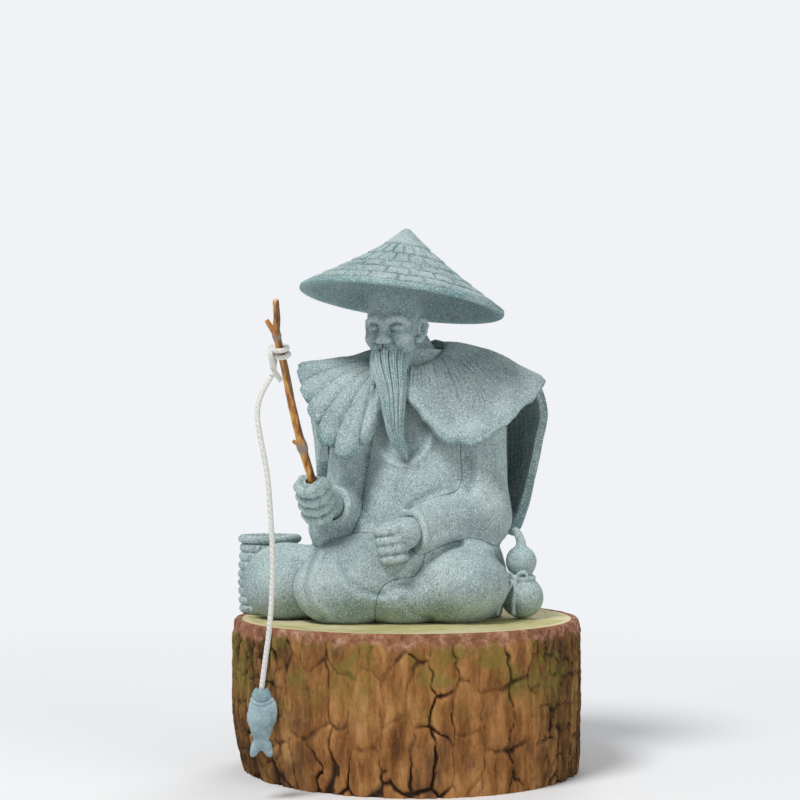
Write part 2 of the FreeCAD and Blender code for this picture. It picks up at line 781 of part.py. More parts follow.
# Rows hold shares of the head's half height, of its forward lean, half width and half depth, from the chin up.
HEAD_SHARES = (
    (-0.96, 0.34, 0.34, 0.36), (-0.80, 0.30, 0.52, 0.60), (-0.45, 0.14, 0.80, 0.84), (0.00, 0.00, 1.00, 1.00),
    (0.50, -0.04, 0.95, 0.95), (1.55, -0.06, 0.66, 0.66),
)


def head_form(name, grow):
    """Skull and jaw in one loft, the half depth of each ring turned to the face."""
    forward = head_axes()[0]
    rings = []
    for rise, lean, width, depth in HEAD_SHARES:
        centre = shift(shift(head_centre(), forward, s.head_half_depth * lean), UP, s.head_half_height * rise)
        rings.append((centre, s.head_half_width * width + grow, s.head_half_depth * depth + grow))
    return ring_loft(name, rings, -float(s.head_yaw))


NECK_REACH_SHARE = 0.8
# The nose: how far out on the face it starts, how high its bridge is, and how thin.
NOSE_SHARES = (0.93, 0.4, 0.6)
# The ears: how far out to the side they sit, and how far towards the face.
EAR_SHARES = (0.98, -0.5)


def head_pieces():
    forward, left, up = head_axes()
    centre = head_centre()
    neck_foot = at(ZERO, ZERO, s.torso_height + s.clearance)
    neck = taper("neck", neck_foot, between(neck_foot, centre, NECK_REACH_SHARE), s.neck_radius, s.neck_radius)
    out, high, thin = NOSE_SHARES
    bridge = shift(shift(centre, forward, s.head_half_depth * out), up, s.nose_length * high)
    tip = shift(shift(bridge, up, -s.nose_length), forward, s.nose_radius)
    nose = taper("nose", bridge, tip, s.nose_radius * thin, s.nose_radius)
    pieces = [head_form("head_form", ZERO), neck, nose, ball("nose_tip", tip, s.nose_radius)]
    turn = FreeCAD.Rotation(UP, -float(s.head_yaw))
    out, ahead = EAR_SHARES
    for side, label in ((1, "left"), (-1, "right")):
        lobe = shift(shift(centre, left, s.head_half_width * out * side), forward, s.ear_half_depth * ahead)
        pieces.append(ellipsoid(f"{label}_ear", lobe, (s.ear_half_thickness, s.ear_half_depth, s.ear_half_height),
                                turn))
    hat_space = doc.addObject("Part::Cylinder", "hat_space")
    bind(hat_space, Radius=s.hat_radius, Height=s.hat_height)
    middle, lean = hat_place()
    seat = shift(middle, lean.multVec(UP), s.hat_seat_rise - s.clearance)
    place(hat_space, seat, lean)
    torso_space = torso_form("torso_space_at_neck", s.clearance)
    node("head", cut("head_carving", fuse("head_whole", pieces), [hat_space, torso_space]))
    hat = hat_body()
    node("hat", place(hat, middle, lean))
    node("beard", cut("beard_carving", beard_form(), [head_form("face_space", s.clearance)]))


def hat_place():
    lean = (FreeCAD.Rotation(FreeCAD.Vector(0, 1, 0), float(s.hat_roll))
            * FreeCAD.Rotation(FreeCAD.Vector(1, 0, 0), -float(s.hat_pitch)))
    return at(-s.hat_side, s.hat_forward, s.torso_height + s.hat_rise), lean


# How the crown steepens towards its tip, and where the rim's outer side starts.
HAT_SLOPE_SHARE = 1.18
HAT_RIM_FOOT_SHARE = 0.25


def hat_body():
    """A woven cone with a stepped ring at every course, a thick rim, and a hollow that sits on the head."""
    crown = s.hat_height - s.hat_rim
    points = [(ZERO, s.hat_seat_rise), (s.hat_seat_radius, s.hat_seat_rise),
              (s.hat_radius - s.hat_wall, ZERO), (s.hat_radius, s.hat_rim * HAT_RIM_FOOT_SHARE),
              (s.hat_radius, s.hat_rim)]
    rings = int(float(s.hat_ring_count))
    for number in range(1, rings + 1):
        inward = number / rings
        radius = s.hat_radius - (s.hat_radius - s.hat_tip_radius) * inward
        height = s.hat_rim + crown * inward ** HAT_SLOPE_SHARE
        points.append((radius, height - s.hat_step))
        if number < rings:
            points.append((radius, height))
    points.append((ZERO, s.hat_height))
    return profile_body("hat_cone", points)


# Rows hold shares of the beard's length, sweep, forward lean, half width and half depth.
BEARD_SHARES = (
    (0.00, 0.15, 0.14, 1.00, 0.95), (0.20, 0.15, 0.73, 0.80, 0.90), (0.42, 0.19, 1.00, 0.58, 0.75),
    (0.65, 0.32, 1.00, 0.53, 0.68), (0.86, 0.55, 0.88, 0.40, 0.44), (1.00, 1.00, 0.74, 0.08, 0.08),
)
# The chin that it grows from: shares of the head's half depth and half height.
CHIN_SHARES = (0.6, -0.5)


def beard_form():
    forward, down = CHIN_SHARES
    top = shift(shift(head_centre(), head_axes()[0], s.head_half_depth * forward), UP, s.head_half_height * down)
    return ring_loft("beard_form", [
        ((top[0] + s.beard_sweep * sweep, top[1] - s.beard_forward * lean, top[2] - s.beard_length * length),
         s.beard_half_width * width, s.beard_half_depth * depth)
        for length, sweep, lean, width, depth in BEARD_SHARES
    ])


# Rod: a twig of tapering lengths, with a knot of wood, a side stub and pale cut ends

# Between the rod's own places: shares of the way from one to the next, and of the radius there.
FOOT_TO_KNOB_SHARES = (0.9, 0.95)
KNOB_TO_FORK_SHARES = ((0.08, 0.92), (0.5, 0.85))
FORK_RADIUS_SHARE = 0.9
FORK_TO_TIP_SHARES = (0.3, 0.92)
STUB_ROOT_SHARE = 1.1
STUB_HEADING = FreeCAD.Vector(-0.55, -0.3, 0.75).normalize()


def rod_piece():
    foot, knob, fork, tip = rod_route()
    way, thin = FOOT_TO_KNOB_SHARES
    stations = [(foot, s.rod_foot_radius), (between(foot, knob, way), s.rod_foot_radius * thin),
                (knob, s.rod_knob_radius)]
    for way, thin in KNOB_TO_FORK_SHARES:
        stations.append((between(knob, fork, way), s.rod_foot_radius * thin))
    way, thin = FORK_TO_TIP_SHARES
    stations += [(fork, s.rod_foot_radius * FORK_RADIUS_SHARE), (between(fork, tip, way), s.rod_tip_radius * thin),
                 (tip, s.rod_tip_radius)]
    sections = []
    for number, (point, radius) in enumerate(stations):
        before = vector(stations[max(number - 1, 0)][0])
        after = vector(stations[min(number + 1, len(stations) - 1)][0])
        ring = doc.addObject("Part::Circle", f"twig_ring_{number + 1}")
        bind(ring, Radius=radius)
        sections.append(place(ring, point, FreeCAD.Rotation(UP, after - before)))
    twig = doc.addObject("Part::Loft", "twig")
    twig.Sections = sections
    twig.Solid = True
    twig.Ruled = True
    spike = shift(fork, STUB_HEADING, s.stub_length)
    stub = taper("twig_stub", fork, spike, s.stub_radius * STUB_ROOT_SHARE, s.stub_radius)
    node("rod", fuse("twig_with_stub", [twig, stub]))


# Line and its knot

# Below this a heading counts as straight on, or two headings as alike.
STRAIGHT_SHARE = 1e-6


def arc_between(start, heading, end):
    """An arc that leaves a point along a heading and reaches another point, with its heading there."""
    chord = end - start
    half = chord.Length / 2
    along = FreeCAD.Vector(chord).normalize()
    side = heading - along * heading.dot(along)
    if side.Length < STRAIGHT_SHARE:
        return Part.LineSegment(start, end).toShape(), along
    side.normalize()
    angle = heading.getAngle(along)
    middle = (start + end) * 0.5 + side * half * math.tan(angle / 2)
    turned = along * (2 * heading.dot(along)) - heading
    return Part.Arc(start, middle, end).toShape(), turned


def biarc(start, heading, end, last_heading):
    """Two arcs that join two points and their headings smoothly."""
    chord = end - start
    both = heading + last_heading
    spread = 2 * (1 - heading.dot(last_heading))
    product = chord.dot(both)
    if abs(spread) < STRAIGHT_SHARE:
        reach = chord.dot(chord) / (4 * chord.dot(last_heading))
    else:
        reach = (-product + math.sqrt(product ** 2 + spread * chord.dot(chord))) / spread
    joint = (start + end + (heading - last_heading) * reach) * 0.5
    first, turned = arc_between(start, heading, joint)
    second = arc_between(joint, turned, end)[0]
    return [first, second]


def knot_stations():
    """Points and headings of the cord from where the line leaves, round the twig, to its loose end."""
    knob, fork = rod_route()[1:3]
    start = vector(between(knob, fork, float(s.knot_height_share)))
    axis = (vector(fork) - vector(knob)).normalize()
    across = (FreeCAD.Vector(1, 0, 0) - axis * axis.x).normalize()
    behind = axis.cross(across)
    thick = float(s.line_radius) * 2
    radius = float(s.rod_foot_radius + s.knot_clearance + s.line_radius)
    step = (thick + float(s.knot_gap)) / 2
    slope = math.atan2(step, math.pi * radius)
    stations = []
    for half_turn in range(int(float(s.knot_half_turns)) + 1):
        angle = math.pi - half_turn * math.pi
        out = across * math.cos(angle) + behind * math.sin(angle)
        round_way = across * math.sin(angle) - behind * math.cos(angle)
        heading = round_way * math.cos(slope) + axis * math.sin(slope)
        stations.append((start + axis * step * half_turn + out * radius, heading.normalize()))
    return stations, axis, across, behind, thick


# Where the knot's ends go, in shares of the cord's thickness. The line's end lies back along the first turn's
# heading, down, and aside. The loose end goes down the twig, across it and behind it, in three steps.
LINE_END_SHARES = (1.3, 2.2, 0.5)
LOOSE_END_SHARES = ((1.2, 1.1, -1.6), (3.4, 0.5, 0.0), (3.2, 0.0, 1.6))
LOOSE_TURN_SHARES = (2.0, 0.6)


def knot_path():
    stations, axis, across, behind, thick = knot_stations()
    first, heading = stations[0]
    back, down, aside = LINE_END_SHARES
    line_end = first - (heading * back + UP * down + across * aside) * thick
    line_heading = LINE_END_HEADING
    entry = line_end - line_heading * thick
    ends = [stations[-1][0]]
    for down, aside, rear in LOOSE_END_SHARES:
        ends.append(ends[-1] + (axis * -down + across * aside + behind * rear) * thick)
    over, drop, tail = ends[1:]
    away = (drop - over).normalize()
    ending = (tail - drop).normalize()
    ahead, forward = LOOSE_TURN_SHARES
    path = [(entry, -line_heading)] + stations + [(over, (away * ahead - behind * forward).normalize()),
                                                  (drop, (away + ending).normalize()), (tail, ending)]
    edges = [Part.LineSegment(line_end, entry).toShape()]
    for (point, way), (following, next_way) in zip(path, path[1:]):
        edges += biarc(point, way, following, next_way)
    edges.append(Part.LineSegment(tail, tail + ending * thick).toShape())
    return edges, line_end


CORD_FLATS = 8
# How finely the knot is measured, and how far along it two places lie before their gap counts, in thicknesses.
PROBE_SHARE = 1 / 6
APART_SHARE = 2.5
TANGENT_SHARE = 0.45


def cord_tube(edges, start, heading):
    """A cord of eight flats along a path, as a pipe shell in default mode."""
    side = heading.cross(FreeCAD.Vector(0, 1, 0)).normalize()
    other = heading.cross(side)
    corners = []
    for number in range(CORD_FLATS):
        angle = 2 * math.pi * number / CORD_FLATS
        corners.append(start + (side * math.cos(angle) + other * math.sin(angle)) * float(s.line_radius))
    section = Part.makePolygon(corners + corners[:1])
    return Part.Wire(edges).makePipeShell([section], True, False)


def least_self_gap(edges, thick):
    """Least distance between stretches of a cord that lie apart along it, less the cord's thickness."""
    points = []
    travelled = 0.0
    for edge in edges:
        count = max(int(edge.Length / (thick * PROBE_SHARE)), 2)
        for number in range(count):
            place_on = edge.FirstParameter + (edge.LastParameter - edge.FirstParameter) * number / count
            points.append((travelled + edge.Length * number / count, edge.valueAt(place_on)))
        travelled += edge.Length
    least = math.inf
    for index, (along, point) in enumerate(points):
        for later, other in points[index + 1:]:
            if later - along > thick * APART_SHARE:
                least = min(least, (other - point).Length)
    return least - thick


LINE_END_HEADING = FreeCAD.Vector(-0.46, -0.42, -0.78).normalize()

# The line's route, in order down from the knot to the fish. It hangs past the front of the log.
LINE_ROUTE = (
    (-34.1, -44.4, 86.7), (-33.0, -45.0, 80.4), (-31.5, -45.2, 73.2), (-30.9, -45.0, 65.0),
    (-30.3, -45.0, 56.0), (-30.4, -45.1, 47.0), (-31.0, -45.0, 38.6), (-32.0, -45.0, 31.4),
    (-32.8, -45.0, 25.0),
)


def line_edges(points):
    """Straight runs joined by tangent arcs, each arc as large as its two runs allow."""
    edges = []
    radii = []
    here = points[0]
    for before, corner, after in zip(points, points[1:], points[2:]):
        back = before - corner
        ahead = after - corner
        turn = math.pi - back.getAngle(ahead)
        tangent = TANGENT_SHARE * min(back.Length, ahead.Length)
        radii.append(tangent / math.tan(turn / 2))
        back.normalize()
        ahead.normalize()
        inward = FreeCAD.Vector(back + ahead).normalize()
        depth = radii[-1] / math.cos(turn / 2) - radii[-1]
        first = corner + back * tangent
        last = corner + ahead * tangent
        edges.append(Part.LineSegment(here, first).toShape())
        edges.append(Part.Arc(first, corner + inward * depth, last).toShape())
        here = last
    edges.append(Part.LineSegment(here, points[-1]).toShape())
    return edges, radii


def line_pieces():
    thick = float(s.line_radius) * 2
    knot, line_start = knot_path()
    print(f"knot: least gap between its turns {least_self_gap(knot, thick):.2f} mm")
    node("line_knot", feature("line_knot_tube", cord_tube(knot, line_start, LINE_END_HEADING)))
    pivot = line_start + LINE_END_HEADING * float(s.line_gap)
    bend = pivot + LINE_END_HEADING * float(s.line_first_run)
    points = [pivot, bend] + [FreeCAD.Vector(*point) for point in LINE_ROUTE]
    edges, radii = line_edges(points)
    tube = cord_tube(edges, pivot, LINE_END_HEADING)
    length = sum(edge.Length for edge in edges)
    section = CORD_FLATS / 2 * math.sin(2 * math.pi / CORD_FLATS) * float(s.line_radius) ** 2
    print("line: route", ", ".join(f"({p.x:.2f}, {p.y:.2f}, {p.z:.2f})" for p in points))
    print(f"line: length {length:.1f} mm")
    print("line: bend radii", ", ".join(f"{radius:.1f}" for radius in radii))
    print(f"line: tube volume {tube.Volume:.2f}, section times length {section * length:.2f} mm3")
    node("fishing_line", feature("fishing_line_tube", tube))


# Fish: a smooth flat body with a forked tail, hung by a flared mouth that lets it swing on the line's end

# Half of its body's length, and the place, the reach, the thickness and the half length of its tail's lobes.
FISH_BODY_SHARE = 0.40
FISH_TAIL_SHARES = (0.74, 0.16, 0.4, 0.18)
# The back fin: its place out to the side and up the body, its half width, half thickness and half length.
FISH_FIN_SHARES = (0.86, 0.1, 0.36, 0.3, 0.42)


def fish_piece():
    mouth = tuple(Size(value, f"({value})") for value in LINE_ROUTE[-1])
    nose = shift(mouth, UP, s.fish_mouth_depth - s.clearance)
    half_body = s.fish_length * FISH_BODY_SHARE
    centre = shift(nose, UP, -half_body)
    flesh = ellipsoid("fish_flesh", centre, (s.fish_half_width, s.fish_half_thickness, half_body))
    pieces = [flesh]
    low, reach, thin, long = FISH_TAIL_SHARES
    root = shift(centre, UP, -half_body * low)
    for side, label in ((1, "right"), (-1, "left")):
        angle = math.radians(float(s.fish_tail_splay)) * side
        down = FreeCAD.Vector(math.sin(angle), 0, -math.cos(angle))
        lobe = shift(root, down, s.fish_length * reach)
        pieces.append(ellipsoid(f"fish_tail_{label}", lobe,
                                (s.fish_tail_half_width, s.fish_half_thickness * thin, s.fish_length * long),
                                FreeCAD.Rotation(UP, down)))
    out, up, wide, thin, long = FISH_FIN_SHARES
    back = shift(shift(centre, FreeCAD.Vector(1, 0, 0), s.fish_half_width * out), UP, half_body * up)
    pieces.append(ellipsoid("fish_back_fin", back,
                            (s.fish_half_width * wide, s.fish_half_thickness * thin, half_body * long)))
    hollow = taper("fish_mouth", shift(nose, UP, -s.fish_mouth_depth), shift(nose, UP, s.clearance),
                   s.line_radius + s.clearance, s.fish_mouth_radius)
    node("fish", cut("fish_carving", fuse("fish_form", pieces), [hollow]))


# Creel: a woven barrel with a rope rim and an open, shallow top

# One woven row: where its round starts and ends. The rim: how far it rounds over, and how far its inside drops.
CREEL_ROW_SHARES = (0.25, 0.75)
CREEL_RIM_SHARES = (0.4, 0.6)


def creel_piece(lower_space):
    wall_top = s.creel_height - s.creel_rim_radius * 2
    rise = wall_top / float(s.creel_row_count)
    points = [(ZERO, ZERO), (s.creel_radius * creel_waist(0), ZERO)]
    rows = int(float(s.creel_row_count))
    for number in range(rows):
        radius = s.creel_radius * creel_waist((number + 0.5) / rows)
        for share in CREEL_ROW_SHARES:
            points.append((radius, rise * (number + share)))
        points.append((s.creel_radius * creel_waist((number + 1) / rows) - s.creel_row_depth, rise * (number + 1)))
    neck = s.creel_radius * creel_waist(1)
    over, inside = (s.creel_rim_radius * share for share in CREEL_RIM_SHARES)
    points += [(neck + over, wall_top + over), (neck + over, s.creel_height - over), (neck - over, s.creel_height),
               (neck - s.creel_wall, s.creel_height - inside),
               (neck - s.creel_wall, s.creel_height - s.creel_recess), (ZERO, s.creel_height - s.creel_recess)]
    basket = profile_body("creel_basket", points)
    place(basket, (s.creel_inset - s.log_radius + s.spine_x, s.spine_y + s.creel_back, s.log_height))
    node("creel", cut("creel_carving", basket, [lower_space]))


CREEL_WAIST_SHARE = 0.14
CREEL_SWELL_SHARES = (0.2, 0.82)


def creel_waist(share):
    """Share of the creel's radius at a share of its height: full below the middle, drawn in to foot and rim."""
    foot, rim = CREEL_SWELL_SHARES
    return 1 - CREEL_WAIST_SHARE + CREEL_WAIST_SHARE * math.sin(math.pi * (foot + (rim - foot) * share))


# Gourd: a bottle gourd on its side of the belt, with a ribbon round its waist

# The ribbon's height and ring, then the waist's radius at its foot and top, and the stem's at its end.
GOURD_RIBBON_SHARES = (0.88, 0.62)
GOURD_WAIST_SHARES = (0.66, 0.6)
GOURD_STEM_SHARE = 0.7
GOURD_STEM_HEADING = FreeCAD.Vector(-0.35, 0, 1).normalize()


def gourd_piece(lower_space):
    low = at(s.gourd_side, s.gourd_forward, s.gourd_lift)
    high = shift(low, UP, s.gourd_spacing)
    rise, ring = GOURD_RIBBON_SHARES
    waist = shift(low, UP, s.gourd_lower_radius * rise)
    stem_top = shift(high, GOURD_STEM_HEADING, s.gourd_upper_radius + s.gourd_stem_length)
    ribbon = doc.addObject("Part::Torus", "gourd_ribbon")
    bind(ribbon, Radius1=s.gourd_upper_radius * ring, Radius2=s.ribbon_radius)
    place(ribbon, waist)
    foot, top = (s.gourd_upper_radius * share for share in GOURD_WAIST_SHARES)
    pieces = [ball("gourd_lower", low, s.gourd_lower_radius), ball("gourd_upper", high, s.gourd_upper_radius),
              taper("gourd_waist", low, high, foot, top), ribbon,
              taper("gourd_stem", high, stem_top, s.gourd_stem_radius, s.gourd_stem_radius * GOURD_STEM_SHARE)]
    node("gourd", cut("gourd_carving", fuse("gourd_form", pieces), [lower_space]))


def check_and_write():
    """Recomputes the document, checks every object, and writes one file per sub-part."""
    doc.recompute()
    for item in doc.Objects:
        if "Invalid" in item.State or "Error" in item.State:
            raise RuntimeError(f"{item.Name} failed: {item.State}")
    os.makedirs("parts", exist_ok=True)
    for name, item in nodes.items():
        shape = item.Shape
        if shape.isNull() or not shape.isValid() or not shape.Solids:
            raise RuntimeError(f"{name} has no valid solid")
        solid = max(shape.Solids, key=lambda each: each.Volume)
        print(f"{name}: {solid.Volume:.0f} mm3, {len(solid.Faces)} faces")
        solid.exportStep(f"parts/{name}.step")


def main():
    log_pieces()
    capes()
    torso_piece()
    lower_space = lower_pieces()
    arm_pieces(lower_space)
    head_pieces()
    rod_piece()
    line_pieces()
    fish_piece()
    creel_piece(lower_space)
    gourd_piece(lower_space)
    check_and_write()


main()
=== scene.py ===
import math

import bpy
import numpy as np
import openvdb
from mathutils import Matrix, Vector


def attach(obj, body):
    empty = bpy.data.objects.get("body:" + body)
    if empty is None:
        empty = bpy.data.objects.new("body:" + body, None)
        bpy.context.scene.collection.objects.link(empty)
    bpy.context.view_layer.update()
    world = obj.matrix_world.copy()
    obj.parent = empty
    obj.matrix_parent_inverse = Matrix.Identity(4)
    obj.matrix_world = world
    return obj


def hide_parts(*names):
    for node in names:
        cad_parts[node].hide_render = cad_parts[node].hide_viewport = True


# Okimono of a seated fisherman in green sandstone on a slice of a log: its surfaces, line and materials.
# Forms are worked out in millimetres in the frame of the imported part, and made in metres.

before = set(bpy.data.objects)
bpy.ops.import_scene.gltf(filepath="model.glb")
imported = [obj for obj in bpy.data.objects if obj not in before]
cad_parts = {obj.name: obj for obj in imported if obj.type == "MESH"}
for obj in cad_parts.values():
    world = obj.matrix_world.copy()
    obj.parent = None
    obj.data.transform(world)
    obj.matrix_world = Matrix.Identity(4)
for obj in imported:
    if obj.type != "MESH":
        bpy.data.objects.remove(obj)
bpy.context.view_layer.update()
scene = bpy.context.scene
MM = 0.001


# Camera, at the photograph's height and distance

CAMERA_PLACE = (-1.75, -450.0, 80.0)
CAMERA_RISE = 11.0
CAMERA_LENS = 81.0
CAMERA_CLIP = (0.01, 20)


def camera():
    data = bpy.data.cameras.new("camera")
    data.lens = CAMERA_LENS
    eye = bpy.data.objects.new("camera", data)
    eye.location = Vector(CAMERA_PLACE) * MM
    pitch = math.atan2(CAMERA_RISE, -CAMERA_PLACE[1])
    eye.rotation_euler = (math.pi / 2 + pitch, 0, 0)
    data.clip_start, data.clip_end = CAMERA_CLIP
    scene.collection.objects.link(eye)
    scene.camera = eye


camera()


# Cotton line, from the knot down to the fish, and the knot's cord round the twig

CORD_FLATS = 5
LINE_RADIUS = 0.6
LINE_ROUTE = (
    (-31.16, -41.03, 95.06), (-33.37, -43.05, 91.31), (-34.10, -44.40, 86.70), (-33.00, -45.00, 80.40),
    (-31.50, -45.20, 73.20), (-30.90, -45.00, 65.00), (-30.30, -45.00, 56.00), (-30.40, -45.10, 47.00),
    (-31.00, -45.00, 38.60), (-32.00, -45.00, 31.40), (-32.80, -45.00, 25.00),
)


def spline_piece(name, points, radius):
    """A smooth round cord along control points in millimetres."""
    data = bpy.data.curves.new(name, "CURVE")
    data.dimensions = "3D"
    spline = data.splines.new("NURBS")
    spline.points.add(len(points) - 1)
    for place, point in zip(spline.points, points):
        place.co = (point[0] * MM, point[1] * MM, point[2] * MM, 1)
        place.radius = radius * MM
    spline.order_u = 3
    spline.use_endpoint_u = True
    spline.resolution_u = 12
    data.bevel_depth = 1.0
    data.bevel_resolution = CORD_FLATS
    data.use_fill_caps = True
    piece = bpy.data.objects.new(name, data)
    scene.collection.objects.link(piece)
    return piece


line = spline_piece("cotton_line", LINE_ROUTE, LINE_RADIUS)
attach(line, "line")
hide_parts("fishing_line")


# Small mathematics

TURN = 2 * math.pi


def smooth_step(low, high, value):
    """Rises smoothly from 0 to 1 as a value goes from low to high, which may lie the other way round."""
    t = np.clip((value - low) / (high - low), 0.0, 1.0)
    return t * t * (3 - 2 * t)


def bell(distance, width):
    """1 where the distance is 0, falling softly on both sides."""
    return np.exp(-(distance / width) ** 2)


def lattice(cells, seed):
    """A repeatable number from 0 to 1 for each whole-numbered cell."""
    mixed = np.zeros(cells[0].shape, np.int64) + seed * 7919
    for axis, prime in zip(cells, (73856093, 19349663, 83492791)):
        mixed = (mixed ^ (axis.astype(np.int64) * prime)) & 0x7FFFFFFF
        mixed = (mixed * 1103515245 + 12345) & 0x7FFFFFFF
    return (mixed >> 7 & 0xFFFF) / 65535.0


def noise(coords, seed):
    """Smooth noise from -1 to 1 at places given as a list of coordinate arrays."""
    base = [np.floor(c) for c in coords]
    part = [c - b for c, b in zip(coords, base)]
    part = [p * p * (3 - 2 * p) for p in part]
    total = 0.0
    for corner in range(2 ** len(coords)):
        weight = 1.0
        cells = []
        for axis, (b, p) in enumerate(zip(base, part)):
            up = corner >> axis & 1
            weight = weight * (p if up else 1 - p)
            cells.append(b + up)
        total = total + weight * lattice(cells, seed)
    return total * 2 - 1


def layered_noise(coords, octaves, seed):
    """Noise of several sizes, each half as wide and half as strong as the one before."""
    total, size, weight = 0.0, 1.0, 1.0
    for octave in range(octaves):
        total = total + weight * noise([c * size for c in coords], seed + octave)
        size, weight = size * 2, weight * 0.5
    return total


def smooth_row(rows, place, column):
    """A column of a table at places along its first column, on a smooth curve through its rows."""
    table = np.array(rows, float)
    keys = table[:, 0]
    values = table[:, column]
    last = len(keys) - 1
    index = np.clip(np.searchsorted(keys, place, side="right") - 1, 0, last - 1)
    before, after = np.maximum(index - 1, 0), np.minimum(index + 2, last)
    span = keys[index + 1] - keys[index]
    t = (place - keys[index]) / span
    slope_0 = (values[index + 1] - values[before]) / (keys[index + 1] - keys[before]) * span
    slope_1 = (values[after] - values[index]) / (keys[after] - keys[index]) * span
    rise = values[index + 1] - values[index]
    return (values[index] + t * slope_0 + t ** 2 * (3 * rise - 2 * slope_0 - slope_1)
            + t ** 3 * (slope_0 + slope_1 - 2 * rise))


# Meshes

SHARP_ANGLE = math.radians(62)


def hollow_values(points, faces, rounds=6):
    """How far each vertex lies below its smoothed surroundings, in millimetres: above 0 in a crease."""
    edges = np.vstack([faces[:, [corner, (corner + 1) % 4]] for corner in range(4)])
    count = len(points)
    degree = np.bincount(edges[:, 0], minlength=count) + np.bincount(edges[:, 1], minlength=count)
    degree = np.maximum(degree, 1)[:, None]
    flat = points.copy()
    for _ in range(rounds):
        total = np.zeros_like(flat)
        for axis in range(3):
            total[:, axis] += np.bincount(edges[:, 0], flat[edges[:, 1], axis], count)
            total[:, axis] += np.bincount(edges[:, 1], flat[edges[:, 0], axis], count)
        flat = total / degree
    normals = np.zeros_like(points)
    diagonal_1 = points[faces[:, 2]] - points[faces[:, 0]]
    diagonal_2 = points[faces[:, 3]] - points[faces[:, 1]]
    face_normals = np.cross(diagonal_1, diagonal_2)
    for corner in range(4):
        for axis in range(3):
            normals[:, axis] += np.bincount(faces[:, corner], face_normals[:, axis], count)
    lengths = np.linalg.norm(normals, axis=1, keepdims=True)
    normals = normals / np.maximum(lengths, np.finfo(float).tiny)
    return ((flat - points) * normals).sum(1)


def mesh_piece(name, points, faces, replaced, values, body="figure", slot="sandstone", material=None):
    """A smooth piece from points in millimetres and faces of four corners, in place of one solid.

    The values per point are for its material, which is the figure's stone where none is given.
    A face whose last two corners are alike is a triangle.
    """
    data = bpy.data.meshes.new(name)
    data.vertices.add(len(points))
    data.vertices.foreach_set("co", (np.asarray(points) * MM).astype(np.float32).ravel())
    kept = np.ones(faces.shape, bool)
    kept[faces[:, 2] == faces[:, 3], 3] = False
    corners = faces[kept].astype(np.int32)
    starts = np.concatenate([[0], np.cumsum(kept.sum(1))[:-1]])
    data.loops.add(len(corners))
    data.loops.foreach_set("vertex_index", corners)
    data.polygons.add(len(faces))
    data.polygons.foreach_set("loop_start", starts.astype(np.int32))
    data.update(calc_edges=True)
    data.validate()
    for key, array in values.items():
        attribute = data.attributes.new(key, "FLOAT", "POINT")
        attribute.data.foreach_set("value", np.asarray(array, np.float32).ravel())
    data.shade_smooth()
    data.set_sharp_from_angle(angle=SHARP_ANGLE)
    piece = bpy.data.objects.new(name, data)
    scene.collection.objects.link(piece)
    data.materials.append(material or STONE)
    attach(piece, body)
    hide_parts(replaced)
    return piece


def grid_faces(rows, columns, start=0, closed_rows=False, closed_columns=False):
    """Four-cornered faces over a grid of points numbered row by row."""
    row_count = rows if closed_rows else rows - 1
    column_count = columns if closed_columns else columns - 1
    i, j = np.meshgrid(np.arange(row_count), np.arange(column_count), indexing="ij")
    row, next_row = i * columns, (i + 1) % rows * columns
    next_j = (j + 1) % columns
    faces = np.stack([row + j, next_row + j, next_row + next_j, row + next_j], -1)
    return faces.reshape(-1, 4) + start


def sheet_faces(rows, columns):
    """Faces of a closed sheet: its outer grid, its inner grid of equal size, and the edges between them."""
    inner = rows * columns
    faces = [grid_faces(rows, columns), grid_faces(rows, columns, inner)[:, ::-1]]
    number = np.arange(inner).reshape(rows, columns)
    edge = np.concatenate([number[:, 0], number[-1, 1:], number[-2::-1, -1], number[0, -2:0:-1]])
    following = np.roll(edge, -1)
    faces.append(np.stack([edge, edge + inner, following + inner, following], -1))
    return np.vstack(faces)


def closed_faces(rows, columns, upward=True):
    """Faces of a tube whose rings go upward or down, closed by the two points that follow its grid."""
    grid = grid_faces(rows, columns, closed_columns=True)
    ring = np.arange(columns)
    following = np.roll(ring, -1)
    tip = np.full(columns, rows * columns)
    end = (rows - 1) * columns
    caps = np.vstack([np.stack([ring, following, tip, tip], 1),
                      np.stack([following + end, ring + end, tip + 1, tip + 1], 1)])
    if upward:
        grid, caps = grid[:, ::-1], caps[:, [1, 0, 2, 3]]
    return np.vstack([grid, caps])


def full_turn(columns):
    """Angles all round, in one row."""
    return np.linspace(0, TURN, columns, endpoint=False)[None, :]


def turned_points(azimuth, radius, height):
    """Points round an upright axis, row by row."""
    around = np.broadcast_to(azimuth, radius.shape)
    return np.stack([radius * np.cos(around), radius * np.sin(around), height], -1).reshape(-1, 3)


# Clay: a block of space that forms are carved in. A form is an array of distances, below 0 inside it.

